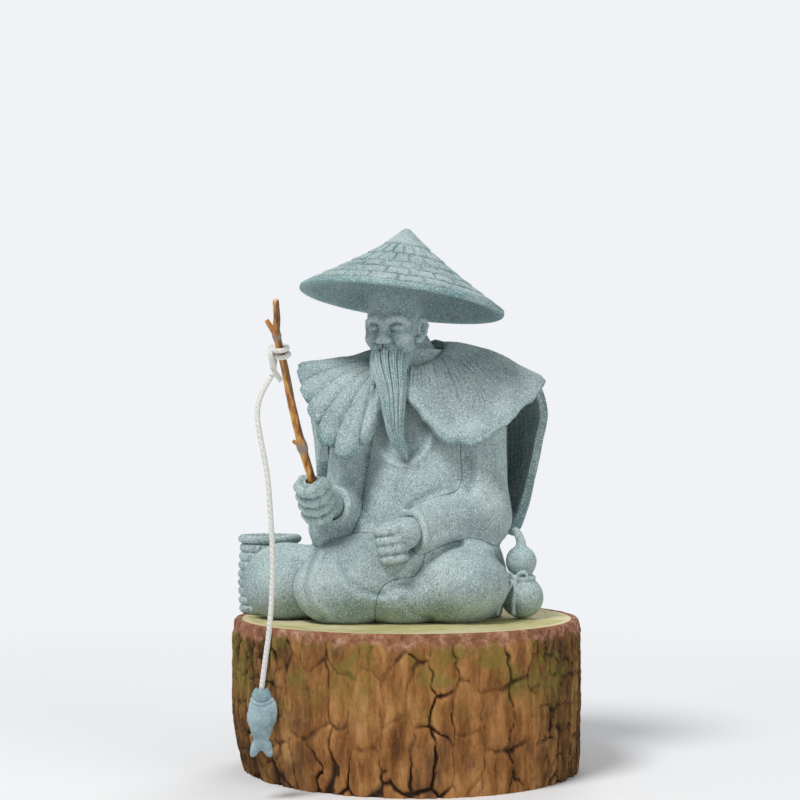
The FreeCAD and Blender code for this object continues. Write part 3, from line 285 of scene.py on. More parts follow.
class Clay:
    def __init__(self, low, high, step):
        self.low = np.array(low, float)
        self.step = step
        counts = np.ceil((np.array(high) - self.low) / step).astype(int) + 1
        axes = [(self.low[i] + step * np.arange(counts[i])).astype(np.float32) for i in range(3)]
        self.x, self.y, self.z = np.meshgrid(*axes, indexing="ij", sparse=True)

    def seen_from(self, centre, axes=None):
        """Coordinates measured from a centre, along three axes of its own where it has them."""
        shifted = (self.x - centre[0], self.y - centre[1], self.z - centre[2])
        if axes is None:
            return shifted
        return tuple(shifted[0] * a[0] + shifted[1] * a[1] + shifted[2] * a[2] for a in axes)

    def beyond(self, point, way):
        """Distance past a flat cut through a point, along a way."""
        x, y, z = self.seen_from(point)
        return x * way[0] + y * way[1] + z * way[2]

    def ellipsoid(self, centre, radii, axes=None):
        parts = self.seen_from(centre, axes)
        near = np.sqrt(sum((part / radius) ** 2 for part, radius in zip(parts, radii)))
        slope = np.sqrt(sum((part / radius ** 2) ** 2 for part, radius in zip(parts, radii)))
        return near * (near - 1) / np.maximum(slope, 1e-4)

    def bone(self, start, end, start_radius, end_radius):
        """A rod with round ends that swells or tapers from one point to another."""
        start, end = np.array(start, float), np.array(end, float)
        way = end - start
        x, y, z = self.seen_from(start)
        along = np.clip((x * way[0] + y * way[1] + z * way[2]) / (way @ way), 0, 1)
        gap = np.sqrt((x - along * way[0]) ** 2 + (y - along * way[1]) ** 2 + (z - along * way[2]) ** 2)
        return gap - (start_radius + (end_radius - start_radius) * along)

    def chain(self, stations, blend):
        """Rods joined end to end through stations of point and radius."""
        form = None
        for (start, start_radius), (end, end_radius) in zip(stations, stations[1:]):
            bone = self.bone(start, end, start_radius, end_radius)
            form = bone if form is None else join(form, bone, blend)
        return form

    def front_line(self, points):
        """Distance, seen from the front, to a line of (x, z) points."""
        nearest = None
        for (x0, z0), (x1, z1) in zip(points, points[1:]):
            way = (x1 - x0, z1 - z0)
            x, z = self.x - x0, self.z - z0
            along = np.clip((x * way[0] + z * way[1]) / (way[0] ** 2 + way[1] ** 2), 0, 1)
            gap = np.sqrt((x - along * way[0]) ** 2 + (z - along * way[1]) ** 2)
            nearest = gap if nearest is None else np.minimum(nearest, gap)
        return nearest

    def blurred(self, form, reach=1.0):
        """The form's distances averaged over a cube, which come out below 0 in a crease of its surface."""
        half = max(int(round(reach / self.step)), 1)
        for axis in range(3):
            padded = np.concatenate([np.repeat(form.take([0], axis), half + 1, axis), form,
                                     np.repeat(form.take([-1], axis), half, axis)], axis)
            sums = np.cumsum(padded, axis, dtype=np.float64)
            count = form.shape[axis]
            upper = sums.take(range(2 * half + 1, 2 * half + 1 + count), axis)
            form = ((upper - sums.take(range(count), axis)) / (2 * half + 1)).astype(np.float32)
        return form

    def sample(self, form, points):
        """A form's values at points, read between the nearest eight places."""
        place = (points - self.low) / self.step
        base = np.clip(np.floor(place).astype(int), 0, np.array(form.shape) - 2)
        part = place - base
        total = 0.0
        for corner in range(8):
            up = [corner >> axis & 1 for axis in range(3)]
            weight = 1.0
            for axis in range(3):
                weight = weight * (part[:, axis] if up[axis] else 1 - part[:, axis])
            total = total + weight * form[base[:, 0] + up[0], base[:, 1] + up[1], base[:, 2] + up[2]]
        return total

    def skin(self, form):
        """Points and faces of a form's surface."""
        grid = openvdb.FloatGrid(background=3.0)
        grid.copyFromArray(np.ascontiguousarray(np.clip(form / self.step, -3, 3), dtype=np.float32))
        points, quads = grid.convertToQuads(isovalue=0.0)
        points = points.astype(float) * self.step + self.low
        return largest_part(points, quads[:, ::-1].astype(np.int64))


def join(first, second, blend):
    """Both forms, with the crease between them filled over a width."""
    near = np.maximum(blend - np.abs(first - second), 0) / blend
    return np.minimum(first, second) - near * near * blend / 4


def carve(form, tool, blend):
    """The form without the tool, with its cut edge softened over a width."""
    return -join(-form, tool, blend)


def largest_part(points, faces):
    """Keeps the largest connected part of a mesh, so that no crumbs float about."""
    label = np.arange(len(points))
    while True:
        lowest = label[faces].min(1)
        fresh = label.copy()
        for corner in range(4):
            np.minimum.at(fresh, faces[:, corner], lowest)
        fresh = fresh[fresh]
        if np.array_equal(fresh, label):
            break
        label = fresh
    main = np.bincount(label).argmax()
    faces = faces[label[faces[:, 0]] == main]
    used = np.unique(faces)
    renumber = np.zeros(len(points), np.int64)
    renumber[used] = np.arange(len(used))
    return points[used], renumber[faces]


def clay_piece(name, clay, form, replaced, stain=0.0, crease=1.0, around=None, **dress):
    """A piece from a form. Its hollows, which its paint darkens as painted shade, are read from the form
    round it, where it is part of a larger one.
    """
    points, faces = clay.skin(form)
    depth = clay.sample(clay.blurred(form if around is None else around), points)
    if callable(stain):
        stain = stain(points)
    values = {"hollow": -depth * crease, "stain": np.zeros(len(points)) + stain}
    return mesh_piece(name, points, faces, replaced, values, **dress)


# Materials

COLOUR_A, COLOUR_B, SHARE, COLOUR_OUT = 6, 7, 0, 2


def opaque(colour):
    """A colour or a grey level as four numbers."""
    return (*colour, 1) if isinstance(colour, tuple) else (colour, colour, colour, 1)


class Paint:
    """A material's nodes, added one after another.

    It is worked out from places on the object, in metres, and from values that the mesh carries.
    """

    def __init__(self, name, roughness, specular=0.5):
        self.material = bpy.data.materials.new(name)
        self.material.use_nodes = True
        self.tree = self.material.node_tree
        self.shader = self.tree.nodes["Principled BSDF"]
        self.shader.inputs["Roughness"].default_value = roughness
        self.shader.inputs["Specular IOR Level"].default_value = specular
        self.place = self.add("ShaderNodeTexCoord").outputs["Object"]

    def add(self, kind, **settings):
        node = self.tree.nodes.new(kind)
        for key, value in settings.items():
            setattr(node, key, value)
        return node

    def link(self, source, socket):
        self.tree.links.new(source, socket)

    def value(self, name):
        """A number that the mesh carries at each vertex."""
        return self.add("ShaderNodeAttribute", attribute_name=name).outputs["Fac"]

    def stretched(self, scale):
        mapping = self.add("ShaderNodeMapping")
        self.link(self.place, mapping.inputs["Vector"])
        mapping.inputs["Scale"].default_value = scale
        return mapping.outputs["Vector"]

    def noise(self, scale, detail=3.0, rough=0.6, place=None):
        texture = self.add("ShaderNodeTexNoise")
        texture.inputs["Scale"].default_value = scale
        texture.inputs["Detail"].default_value = detail
        texture.inputs["Roughness"].default_value = rough
        self.link(place or self.place, texture.inputs["Vector"])
        return texture.outputs["Fac"]

    def ramp(self, source, *stops):
        """Numbers or colours along a source's values, each stop given as place and colour or number."""
        node = self.add("ShaderNodeValToRGB")
        elements = node.color_ramp.elements
        while len(elements) < len(stops):
            elements.new(0.5)
        for element, (place, colour) in zip(elements, stops):
            element.position = place
            element.color = opaque(colour)
        self.link(source, node.inputs["Fac"])
        return node.outputs["Color"]

    def mix(self, first, second, share):
        """Lays a second colour over a first by a share. Each may be a socket or a plain colour or number."""
        node = self.add("ShaderNodeMix", data_type="RGBA")
        for number, item in ((COLOUR_A, first), (COLOUR_B, second), (SHARE, share)):
            socket = node.inputs[number]
            if isinstance(item, bpy.types.NodeSocket):
                self.link(item, socket)
            else:
                socket.default_value = item if number == SHARE else opaque(item)
        return node.outputs[COLOUR_OUT]

    def times(self, first, second):
        """The product of two numbers, of which the second is a socket."""
        return self.mix(0.0, first, second)

    def lay(self, under, colour, source, *stops):
        """Lays a colour over another by a ramp along a source."""
        return self.mix(under, colour, self.ramp(source, *stops))

    def spread(self, source, low, high):
        """Stretches a source's values so that low becomes 0 and high becomes 1."""
        node = self.add("ShaderNodeMapRange")
        node.inputs["From Min"].default_value = low
        node.inputs["From Max"].default_value = high
        self.link(source, node.inputs["Value"])
        return node.outputs["Result"]

    def bump(self, *layers):
        """Bumps laid over each other, each given as source and depth in millimetres."""
        normal = None
        for source, depth in layers:
            node = self.add("ShaderNodeBump")
            node.inputs["Strength"].default_value = 1.0
            node.inputs["Distance"].default_value = depth * MM
            self.link(source, node.inputs["Height"])
            if normal:
                self.link(normal, node.inputs["Normal"])
            normal = node.outputs["Normal"]
        self.link(normal, self.shader.inputs["Normal"])

    def colour(self, source):
        self.link(source, self.shader.inputs["Base Color"])
        return self.material


PALE_STONE = (0.475, 0.578, 0.572)
MID_STONE = (0.380, 0.475, 0.475)
DEEP_STONE = (0.282, 0.362, 0.370)
# Painted shade, laid in creases and hollows.
CREASE_SHADE = (0.095, 0.170, 0.185)
TEAL_STAIN = (0.155, 0.325, 0.330)
RIDGE_PALE_STONE = (0.55, 0.660, 0.645)
GRIT_DARK = (0.115, 0.160, 0.170)
GRIT_PALE = (0.72, 0.800, 0.79)
# Painted light on the twig's left, and its dark brown painted as shade on its right.
TWIG_LIT_ORANGE = ((0.34, (0.26, 0.075, 0.015)), (0.48, (0.60, 0.235, 0.035)), (0.64, (0.84, 0.50, 0.12)))
TWIG_SHADED_BROWN = ((0.35, (0.045, 0.022, 0.014)), (0.65, (0.16, 0.07, 0.035)))
TWIG_GREEN = (0.42, 0.44, 0.10)
TWIG_KNOB = (0.29, 0.24, 0.19)
TWIG_CUT = (0.80, 0.68, 0.45)
COTTON_SHADE = (0.66, 0.65, 0.60)
COTTON_PALE = (0.80, 0.79, 0.74)
COTTON_FIBRE = (0.86, 0.85, 0.81)
FISH_DEEP = (0.20, 0.30, 0.33)
FISH_PALE = (0.36, 0.49, 0.52)
FISH_CREASE_SHADE = (0.16, 0.24, 0.29)
FISH_FLECK = (0.52, 0.62, 0.65)
BARK_SMOOTH = (
    (0.30, (0.11, 0.042, 0.014)), (0.44, (0.25, 0.105, 0.032)),
    (0.56, (0.42, 0.195, 0.064)), (0.72, (0.56, 0.320, 0.135)),
)
BARK_ROUGH = (
    (0.34, (0.035, 0.020, 0.009)), (0.48, (0.150, 0.070, 0.022)),
    (0.60, (0.30, 0.155, 0.052)), (0.74, (0.44, 0.290, 0.140)),
)
BARK_INNER = ((0.36, (0.20, 0.075, 0.045)), (0.52, (0.37, 0.160, 0.095)), (0.68, (0.60, 0.39, 0.26)))
BARK_GREY = (0.085, 0.050, 0.032)
BARK_FLECK = (0.52, 0.42, 0.28)
BARK_CRACK = (0.020, 0.013, 0.010)
LICHEN = (0.215, 0.180, 0.035)
WOOD_CLOUDS = ((0.35, (0.44, 0.41, 0.17)), (0.52, (0.60, 0.55, 0.28)), (0.68, (0.70, 0.64, 0.42)))
WOOD_RING = (0.16, 0.11, 0.04)
WOOD_FIBRE = (0.80, 0.74, 0.56)
WOOD_EDGE = (0.70, 0.60, 0.36)


def sandstone():
    """Grey-green sandstone: grainy, painted shade in its creases, paler ridges, a teal stain where a mesh
    asks for it.
    """
    paint = Paint("sandstone", 0.88, 0.2)
    stone = paint.ramp(paint.noise(120, 4), (0.32, DEEP_STONE), (0.50, MID_STONE), (0.66, PALE_STONE))
    hollow = paint.value("hollow")
    patches = paint.ramp(paint.noise(150, 3), (0.36, 0.35), (0.62, 1.0))
    # Painted shade: the mesh's hollow value darkens creases, pleat valleys, seams and the hat's underside.
    crease = paint.times(patches, paint.spread(hollow, 0.04, 0.42))
    stone = paint.mix(stone, CREASE_SHADE, paint.times(0.8, crease))
    stone = paint.mix(stone, TEAL_STAIN, paint.times(patches, paint.value("stain")))
    stone = paint.lay(stone, TEAL_STAIN, paint.noise(45, 3), (0.52, 0.0), (0.70, 0.32))
    # Paler on raised ridges, where the surface stands above its smoothed surroundings.
    stone = paint.mix(stone, RIDGE_PALE_STONE, paint.times(0.55, paint.spread(hollow, -0.05, -0.4)))
    grain = paint.noise(2300, 2, 0.55)
    stone = paint.lay(stone, GRIT_DARK, grain, (0.34, 0.66), (0.47, 0.0))
    stone = paint.lay(stone, GRIT_PALE, paint.noise(2600, 2, 0.5), (0.53, 0.0), (0.65, 0.66))
    paint.bump((grain, 0.12), (paint.noise(700, 3), 0.16))
    return paint.colour(stone)


def twig_skin():
    """A dried twig: dark brown, with painted light in orange and yellow on its left and painted shade on its
    right, green at its foot.
    """
    paint = Paint("twig_skin", 0.42, 0.5)
    streaks = paint.noise(900, 3, 0.6, paint.stretched((1, 0.35, 0.25)))
    dark = paint.ramp(streaks, *TWIG_SHADED_BROWN)
    # Painted light and shade: the twig's left lit orange, its right shaded dark brown.
    shaded_side = paint.ramp(paint.value("side"), (0.44, 0.0), (0.60, 0.9))
    skin = paint.mix(paint.ramp(streaks, *TWIG_LIT_ORANGE), dark, shaded_side)
    skin = paint.lay(skin, TWIG_GREEN, paint.value("along"), (0.02, 0.85), (0.16, 0.0))
    skin = paint.mix(skin, TWIG_KNOB, paint.value("knob"))
    skin = paint.mix(skin, TWIG_CUT, paint.value("cut"))
    paint.bump((streaks, 0.12))
    return paint.colour(skin)


def cotton():
    """Off-white twisted cotton."""
    paint = Paint("cotton", 0.85, 0.2)
    fibres = paint.noise(2600, 3, 0.7)
    paint.shader.inputs["Sheen Weight"].default_value = 0.3
    twist = paint.add("ShaderNodeTexWave", wave_type="BANDS", bands_direction="DIAGONAL")
    twist.inputs["Scale"].default_value = 520
    twist.inputs["Distortion"].default_value = 1.5
    paint.link(paint.place, twist.inputs["Vector"])
    strands = twist.outputs["Fac"]
    shade = paint.ramp(strands, (0.0, COTTON_SHADE), (0.45, COTTON_PALE))
    shade = paint.lay(shade, COTTON_FIBRE, fibres, (0.4, 0.0), (0.7, 0.5))
    paint.bump((strands, 0.10), (fibres, 0.06))
    return paint.colour(shade)


def fish_skin():
    """Smooth pale blue stone, with painted shade in its creases."""
    paint = Paint("fish_skin", 0.45, 0.4)
    body = paint.ramp(paint.noise(220, 3), (0.35, FISH_DEEP), (0.62, FISH_PALE))
    # Painted shade in the creases.
    body = paint.mix(body, FISH_CREASE_SHADE, paint.spread(paint.value("hollow"), 0.01, 0.07))
    grain = paint.noise(1700, 2)
    body = paint.lay(body, FISH_FLECK, grain, (0.58, 0.0), (0.72, 0.5))
    paint.bump((grain, 0.08))
    return paint.colour(body)


def bark_skin():
    """Bark: orange-brown plates, dark cracks, grey streaks, lichen above and red inner bark at the top."""
    paint = Paint("bark_skin", 0.9, 0.15)
    streaks = paint.noise(260, 6, 0.7, paint.stretched((1, 1, 0.25)))
    fine = paint.noise(1100, 4, 0.75)
    smooth_plate = paint.ramp(streaks, *BARK_SMOOTH)
    skin = paint.mix(smooth_plate, paint.ramp(streaks, *BARK_ROUGH), paint.value("rough"))
    skin = paint.lay(skin, BARK_GREY, paint.noise(90, 4, 0.6), (0.54, 0.0), (0.70, 0.65))
    high = paint.ramp(paint.value("rise"), (0.42, 0.0), (0.72, 1.0))
    lichen = paint.ramp(paint.noise(110, 5, 0.7), (0.48, 0.0), (0.60, 0.70))
    skin = paint.mix(skin, LICHEN, paint.times(lichen, high))
    skin = paint.lay(skin, BARK_FLECK, fine, (0.62, 0.0), (0.74, 0.45))
    skin = paint.lay(skin, BARK_CRACK, paint.value("crack"), (0.18, 0.0), (0.80, 0.92))
    inner = paint.ramp(paint.noise(420, 4, 0.7), *BARK_INNER)
    skin = paint.mix(skin, inner, paint.times(0.85, paint.value("band")))
    paint.bump((streaks, 0.6), (fine, 0.3))
    return paint.colour(skin)


def sawn_wood():
    """The log's sawn end: pale yellow-green, ringed, with a cream edge."""
    paint = Paint("sawn_wood", 0.8, 0.2)
    ring = paint.value("ring")
    fibres = paint.noise(700, 4, 0.7)
    wood = paint.ramp(paint.noise(70, 4), *WOOD_CLOUDS)
    wood = paint.lay(wood, WOOD_RING, ring, (0.25, 0.0), (0.9, 0.72))
    wood = paint.lay(wood, WOOD_FIBRE, fibres, (0.54, 0.0), (0.74, 0.45))
    wood = paint.mix(wood, WOOD_EDGE, paint.value("edge"))
    paint.bump((ring, 0.12), (fibres, 0.15))
    return paint.colour(wood)


STONE = sandstone()
TWIG = twig_skin()
COTTON = cotton()
FISH = fish_skin()
BARK = bark_skin()
WOOD = sawn_wood()
line.data.materials.append(COTTON)


# Tubes

def smooth_path(points, count):
    """Places along a smooth curve through points, and how far along each lies from 0 to 1."""
    rows = [(index, *point) for index, point in enumerate(points)]
    t = np.linspace(0, len(points) - 1, count)
    path = np.stack([smooth_row(rows, t, column) for column in range(1, len(rows[0]))], 1)
    return path, t / t[-1]


def tube_grid(path, radii, sides, wobble=None):
    """Points and faces of a closed tube round a path. A wobble adds to its radius by the angle."""
    tangents = np.gradient(path, axis=0)
    tangents /= np.linalg.norm(tangents, axis=1, keepdims=True)
    side = np.cross(tangents[0], (0.0, 1.0, 0.0))
    frames = []
    for tangent in tangents:
        side = side - tangent * (side @ tangent)
        side = side / np.linalg.norm(side)
        frames.append((side, np.cross(tangent, side)))
    frames = np.array(frames)
    angles = full_turn(sides)[0]
    out = frames[:, :1] * np.cos(angles)[None, :, None] + frames[:, 1:] * np.sin(angles)[None, :, None]
    reach = np.broadcast_to(np.asarray(radii, float).reshape(-1, 1), (len(path), sides))
    if wobble:
        reach = reach + wobble(angles)
    rings = path[:, None, :] + out * reach[:, :, None]
    points = np.vstack([rings.reshape(-1, 3), path[:1], path[-1:]])
    return points, closed_faces(len(path), sides)


def gathered(parts):
    """Several sets of points and faces as one."""
    points, faces, start = [], [], 0
    for part_points, part_faces in parts:
        points.append(part_points)
        faces.append(part_faces + start)
        start += len(part_points)
    return np.vstack(points), np.vstack(faces)


# Log

LOG_RADIUS = 43.6
LOG_HEIGHT = 37.0
BARK_THICKNESS = 2.6
BARK_COLUMNS = 780
BARK_ROWS = 92
BARK_GAP = 0.05
BARK_SEED = 3
BARK_PLATES = (44, 2.6)
BARK_CHIPS = (96, 6)
SMOOTH_SIDE = math.radians(272)
WOOD_COLUMNS = 420
WOOD_ROWS = 130
WOOD_PITH = 0.012
RING_WIDTH = 2.1


def log_taper(azimuth, height):
    """How far the log draws in at a height: mostly at the foot of its right side, and a little all round."""
    side = np.clip(np.cos(azimuth - math.radians(205)), 0, 1) ** 2
    low = np.clip(1 - height / 16, 0, 1) ** 1.6
    wave = 0.5 + 0.5 * np.sin(azimuth * 3 + 1.0)
    return 2.6 * side * low + 0.35 * wave + 0.5 * low


def stacked(bands):
    """Radii and heights of several bands of rows, one under another."""
    return np.vstack([band[0] for band in bands]), np.vstack([band[1] for band in bands])


def plate_edges(azimuth, height, columns, rows, seed):
    """How near each place of the bark is to the edge of its plate: 0 on the edge, growing inwards."""
    u = azimuth / TURN * columns
    v = height / LOG_HEIGHT * rows
    cell_u, cell_v = np.floor(u), np.floor(v)
    second = np.full(u.shape, 9.0)
    nearest = second
    for du in (-1, 0, 1):
        for dv in (-1, 0, 1):
            cells = [(cell_u + du) % columns, cell_v + dv + 50]
            centre_u = cell_u + du + 0.15 + 0.7 * lattice(cells, seed)
            centre_v = cell_v + dv + 0.15 + 0.7 * lattice(cells, seed + 1)
            gap = np.hypot(u - centre_u, v - centre_v)
            second = np.minimum(second, np.maximum(gap, nearest))
            nearest = np.minimum(nearest, gap)
    return second - nearest


def bark_relief(turn, height):
    """How deep the bark lies below its outer round, and the values that its paint reads."""

    def patchy(across, along, octaves, seed):
        coords = [np.cos(turn) * 9 * across, np.sin(turn) * 9 * across, height * along]
        return layered_noise(coords, octaves, seed)

    warp = 0.10 * patchy(1.2, 0.16, 3, 11)
    warped = (turn + warp * 0.3) % TURN
    plates = plate_edges(warped, height + warp * 14, *BARK_PLATES, BARK_SEED)
    chips = plate_edges(warped, height + warp * 9, *BARK_CHIPS, BARK_SEED + 9)
    away = np.abs((turn - SMOOTH_SIDE + math.pi) % TURN - math.pi)
    rough = smooth_step(math.radians(34), math.radians(56), away + 0.14 * patchy(1, 0.12, 1, 21))
    strength = 0.35 + 0.65 * smooth_step(-0.5, 0.5, patchy(0.8, 0.05, 1, 31))
    crack = bell(plates, 0.075) * strength
    small = bell(chips, 0.09) * (0.25 + 0.75 * rough)
    fissure = np.clip(patchy(3.4, 0.07, 4, 41), 0, 1) * rough
    ragged = 1.3 * patchy(1, 0.12, 1, 61) + 0.9 * patchy(4, 0.3, 1, 62)
    band = smooth_step(LOG_HEIGHT - 3.6, LOG_HEIGHT - 2.0, height + ragged)
    depth = 1.05 * crack + 0.5 * small + 1.0 * fissure + 0.14 * (patchy(6, 0.5, 3, 51) + 1.5)
    depth = np.clip(depth * (1 - 0.75 * band) + 0.55 * band, 0, 2.0)
    depth = depth + 0.5 * smooth_step(LOG_HEIGHT - 0.6, LOG_HEIGHT, height)
    crack = np.clip(crack + 0.7 * small + 0.6 * fissure, 0, 1)
    return depth, {"crack": crack, "rise": height / LOG_HEIGHT, "rough": rough, "band": band}


def log_bark():
    azimuth = full_turn(BARK_COLUMNS)
    height = np.linspace(0, LOG_HEIGHT, BARK_ROWS)[:, None] + 0 * azimuth
    turn = azimuth + 0 * height
    depth, marks = bark_relief(turn, height)
    outer = LOG_RADIUS - log_taper(turn, height) - depth
    inside = LOG_RADIUS - BARK_THICKNESS + BARK_GAP
    across = inside - log_taper(azimuth, LOG_HEIGHT) - outer[-1:]
    bands = [(outer, height)]
    for share, drop in ((0.25, 0.0), (0.6, 0.02), (1.0, 0.06)):
        bands.append((outer[-1:] + across * share, np.full(azimuth.shape, LOG_HEIGHT - drop)))
    bands.append((inside - log_taper(azimuth, 0), 0 * azimuth))
    radius, level = stacked(bands)
    faces = grid_faces(len(radius), BARK_COLUMNS, closed_rows=True, closed_columns=True)[:, ::-1]
    pad = ((0, len(radius) - BARK_ROWS), (0, 0))
    beyond = {"crack": 0, "rise": 1, "rough": 0, "band": 1}
    values = {key: np.pad(marks[key], pad, constant_values=beyond[key]) for key in beyond}
    mesh_piece("bark_ring", turned_points(azimuth, radius, level), faces, "log_bark", values,
               "stump", "bark", BARK)


def log_heartwood():
    azimuth = full_turn(WOOD_COLUMNS)
    core = LOG_RADIUS - BARK_THICKNESS
    share = np.linspace(1, WOOD_PITH, WOOD_ROWS)[:, None]
    radius = share * (core - log_taper(azimuth, LOG_HEIGHT))
    x, y = radius * np.cos(azimuth), radius * np.sin(azimuth)
    from_pith = np.hypot((x + 5) * 1.04, y - 7)
    wave = layered_noise([x * 0.06, y * 0.06], 3, 71) * 1.6
    ring = np.clip(np.cos(TURN * (from_pith + wave) / RING_WIDTH), 0, 1) ** 4
    ring = ring * (0.35 + 0.65 * smooth_step(-0.4, 0.5, noise([x * 0.05, y * 0.05], 81)))
    saw = 0.5 + 0.5 * layered_noise([x * 0.5 + y * 0.2, y * 0.04], 3, 91)
    edge = smooth_step(core - 2.2, core - 0.8, radius + 0.5 * noise([x * 0.4, y * 0.4], 95))
    top = LOG_HEIGHT - 0.02 - 0.12 * ring - 0.10 * np.clip(saw, 0, 1)
    foot = np.array([[WOOD_PITH], [0.5], [1.0]]) * (core - log_taper(azimuth, 0))
    radius, level = stacked([(radius, top), (foot, 0 * foot)])
    faces = grid_faces(len(radius), WOOD_COLUMNS, closed_rows=True, closed_columns=True)[:, ::-1]
    pad = ((0, len(foot)), (0, 0))
    values = {"ring": np.pad(ring, pad), "edge": np.pad(edge, pad)}
    mesh_piece("sawn_end", turned_points(azimuth, radius, level), faces, "log_heartwood", values,
               "stump", "wood_end", WOOD)


log_bark()
log_heartwood()


# Twig and knot

ROD_FOOT = np.array((-21.04, -15.74, 63.86))
ROD_KNOB = np.array((-24.78, -26.28, 79.37))
ROD_FORK = np.array((-29.62, -43.33, 104.45))
ROD_TIP = np.array((-29.51, -48.60, 112.20))
KNOT_START = np.array((-28.65, -39.92, 99.43))
CORD_RADIUS = 0.6
BRANCHES = ((ROD_FORK, (-0.55, -0.30, 0.75), 4.0, 0.62), (ROD_KNOB, (-0.8, -0.2, 0.35), 2.4, 0.5))
TWIG_SIDES = 28
BRANCH_SIDES = 20
BRANCH_STEPS = 30
KNOT_LEAD = ((-30.95, -40.84, 95.41), (-30.40, -40.34, 96.35))
KNOT_TURNS = 2
KNOT_STEPS = 6
KNOT_RISE = 0.91
KNOT_REACH = 1.77
KNOT_END = ((0.9, 2.14, 2.14), (2.6, 1.95, 2.50), (4.6, 2.34, 1.56), (6.8, 2.07, 0.92), (8.4, 1.0, 1.8))


def unit(way):
    way = np.array(way, float)
    return way / np.linalg.norm(way)


def twig_stem():
    """The stem: its tube, and at each of its places the share along and how much of a knob it is."""
    low, high, tip = ROD_KNOB - ROD_FOOT, ROD_FORK - ROD_KNOB, ROD_TIP - ROD_FORK
    stations = [
        ROD_FOOT, ROD_FOOT + low * 0.5 + (0.12, 0, 0.1),
        ROD_KNOB, ROD_KNOB + high * 0.34 + (-0.2, 0, 0.05), ROD_KNOB + high * 0.7 + (0.12, 0, 0),
        ROD_FORK, ROD_FORK + tip * 0.5 + (0.15, 0, 0), ROD_TIP,
    ]
    path, share = smooth_path(stations, 300)
    knob = bell(share - 2 / 7, 0.022)
    fork = bell(share - 5 / 7, 0.016)
    radii = np.interp(share, (0, 0.27, 0.72, 1.0), (1.04, 1.0, 0.9, 0.72)) + 0.42 * knob + 0.22 * fork
    radii[:3] *= (0.80, 0.93, 0.98)
    radii[-3:] *= (0.98, 0.93, 0.80)
    along = share[:, None] + np.zeros(TWIG_SIDES)
    swollen = (knob + fork)[:, None] + np.zeros(TWIG_SIDES)

    def wobble(angles):
        turn = angles[None, :] + 0 * along
        ripple = layered_noise([np.cos(turn) * 1.3, np.sin(turn) * 1.3, along * 34], 3, 101)
        lump = noise([np.cos(turn) * 1.6, np.sin(turn) * 1.6, along * 60], 111) * swollen
        return 0.045 * (ripple - 0.6) + 0.16 * lump

    return tube_grid(path, radii, TWIG_SIDES, wobble), along, swollen


def twig_branch(start, way, length, radius):
    """A short side branch, given as the stem is."""
    steps = np.linspace(0, 1, BRANCH_STEPS)[:, None]
    path = start + unit(way) * length * steps + np.array((0, 0, 0.5)) * steps ** 2
    radii = np.interp(steps[:, 0], (0, 0.9, 1), (radius * 1.1, radius * 0.9, radius * 0.7))
    tube = tube_grid(path, radii, BRANCH_SIDES)
    return tube, np.full((BRANCH_STEPS, BRANCH_SIDES), 0.8), (1 - steps) * np.ones(BRANCH_SIDES) * 0.6


def twig():
    parts, marks = [], []
    for tube, along, knob in [twig_stem()] + [twig_branch(*branch) for branch in BRANCHES]:
        parts.append(tube)
        marks.append((np.append(along.ravel(), (0.0, 1.0)), np.append(knob.ravel(), (0.0, 0.0))))
    points, faces = gathered(parts)
    cut = np.concatenate([np.arange(len(tube[0])) >= len(tube[0]) - 2 for tube in parts])
    stem = (ROD_FOOT, ROD_FORK, ROD_TIP)
    middle = np.interp(points[:, 2], [place[2] for place in stem], [place[0] for place in stem])
    # side: painted light on the twig's left, painted shade on its right, by how far across the stem a place
    # lies.
    side = 0.5 + (points[:, 0] - middle) * 0.4 + 0.12 * noise([points[:, 2] * 0.4, points[:, 0]], 121)
    along = np.concatenate([mark[0] for mark in marks])
    knob = np.clip(np.concatenate([mark[1] for mark in marks]), 0, 1)
    values = {"side": side, "along": along, "knob": knob, "cut": cut}
    mesh_piece("twig", points, faces, "rod", values, "rod", "twig", TWIG)


def knot():
    """Two turns round the twig, from the line's top end to a loose end that hangs beside the twig."""
    axis = unit(ROD_FORK - ROD_KNOB)
    across = unit(np.array((1.0, 0, 0)) - axis * axis[0])
    behind = np.cross(axis, across)
    route = [np.array(place) for place in KNOT_LEAD]
    for step in range(2 * KNOT_TURNS * KNOT_STEPS + 1):
        angle = math.pi - math.pi * step / KNOT_STEPS
        out = across * math.cos(angle) + behind * math.sin(angle)
        route.append(KNOT_START + axis * KNOT_RISE * step / KNOT_STEPS + out * KNOT_REACH)
    top = KNOT_START + axis * KNOT_RISE * 2 * KNOT_TURNS
    for down, left, ahead in KNOT_END:
        route.append(top - axis * down - across * left - behind * ahead)
    piece = spline_piece("cord_knot", route, CORD_RADIUS)
    piece.data.materials.append(COTTON)
    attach(piece, "rod")
    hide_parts("line_knot")
    return piece


twig()
cord_knot = knot()


# Straw capes, in shares of their reach and drop at each azimuth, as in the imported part

SPINE = (2.0, 3.0)
CAPE_TOP = 106.5
CAPE_REACH = 33.4
CAPE_DROP = 28.0
CAPE_CURVE = 1.5
CAPE_ROWS = (
    (-104, 0.47, 0.50), (-80, 0.54, 0.74), (-57, 0.63, 1.00), (-38, 0.80, 0.80), (-18, 0.93, 0.52),
    (0, 1.00, 0.33), (25, 0.97, 0.38), (60, 0.84, 0.56), (90, 0.78, 0.62), (120, 0.79, 0.56),
    (150, 0.83, 0.38), (180, 0.86, 0.25), (197, 0.86, 0.48), (212, 0.84, 0.77), (222, 0.81, 0.97),
    (230, 0.70, 1.00), (238, 0.55, 0.74), (244, 0.48, 0.58),
)
RIB_DEGREES = 4.0
PLEAT_DEGREES = 9.9
STRAW_DEGREES = 3.5
FOLD_SHARE = 0.34
MANTLE_TOP = 102.0
MANTLE_REACH = 34.4
MANTLE_DROP = 44.0
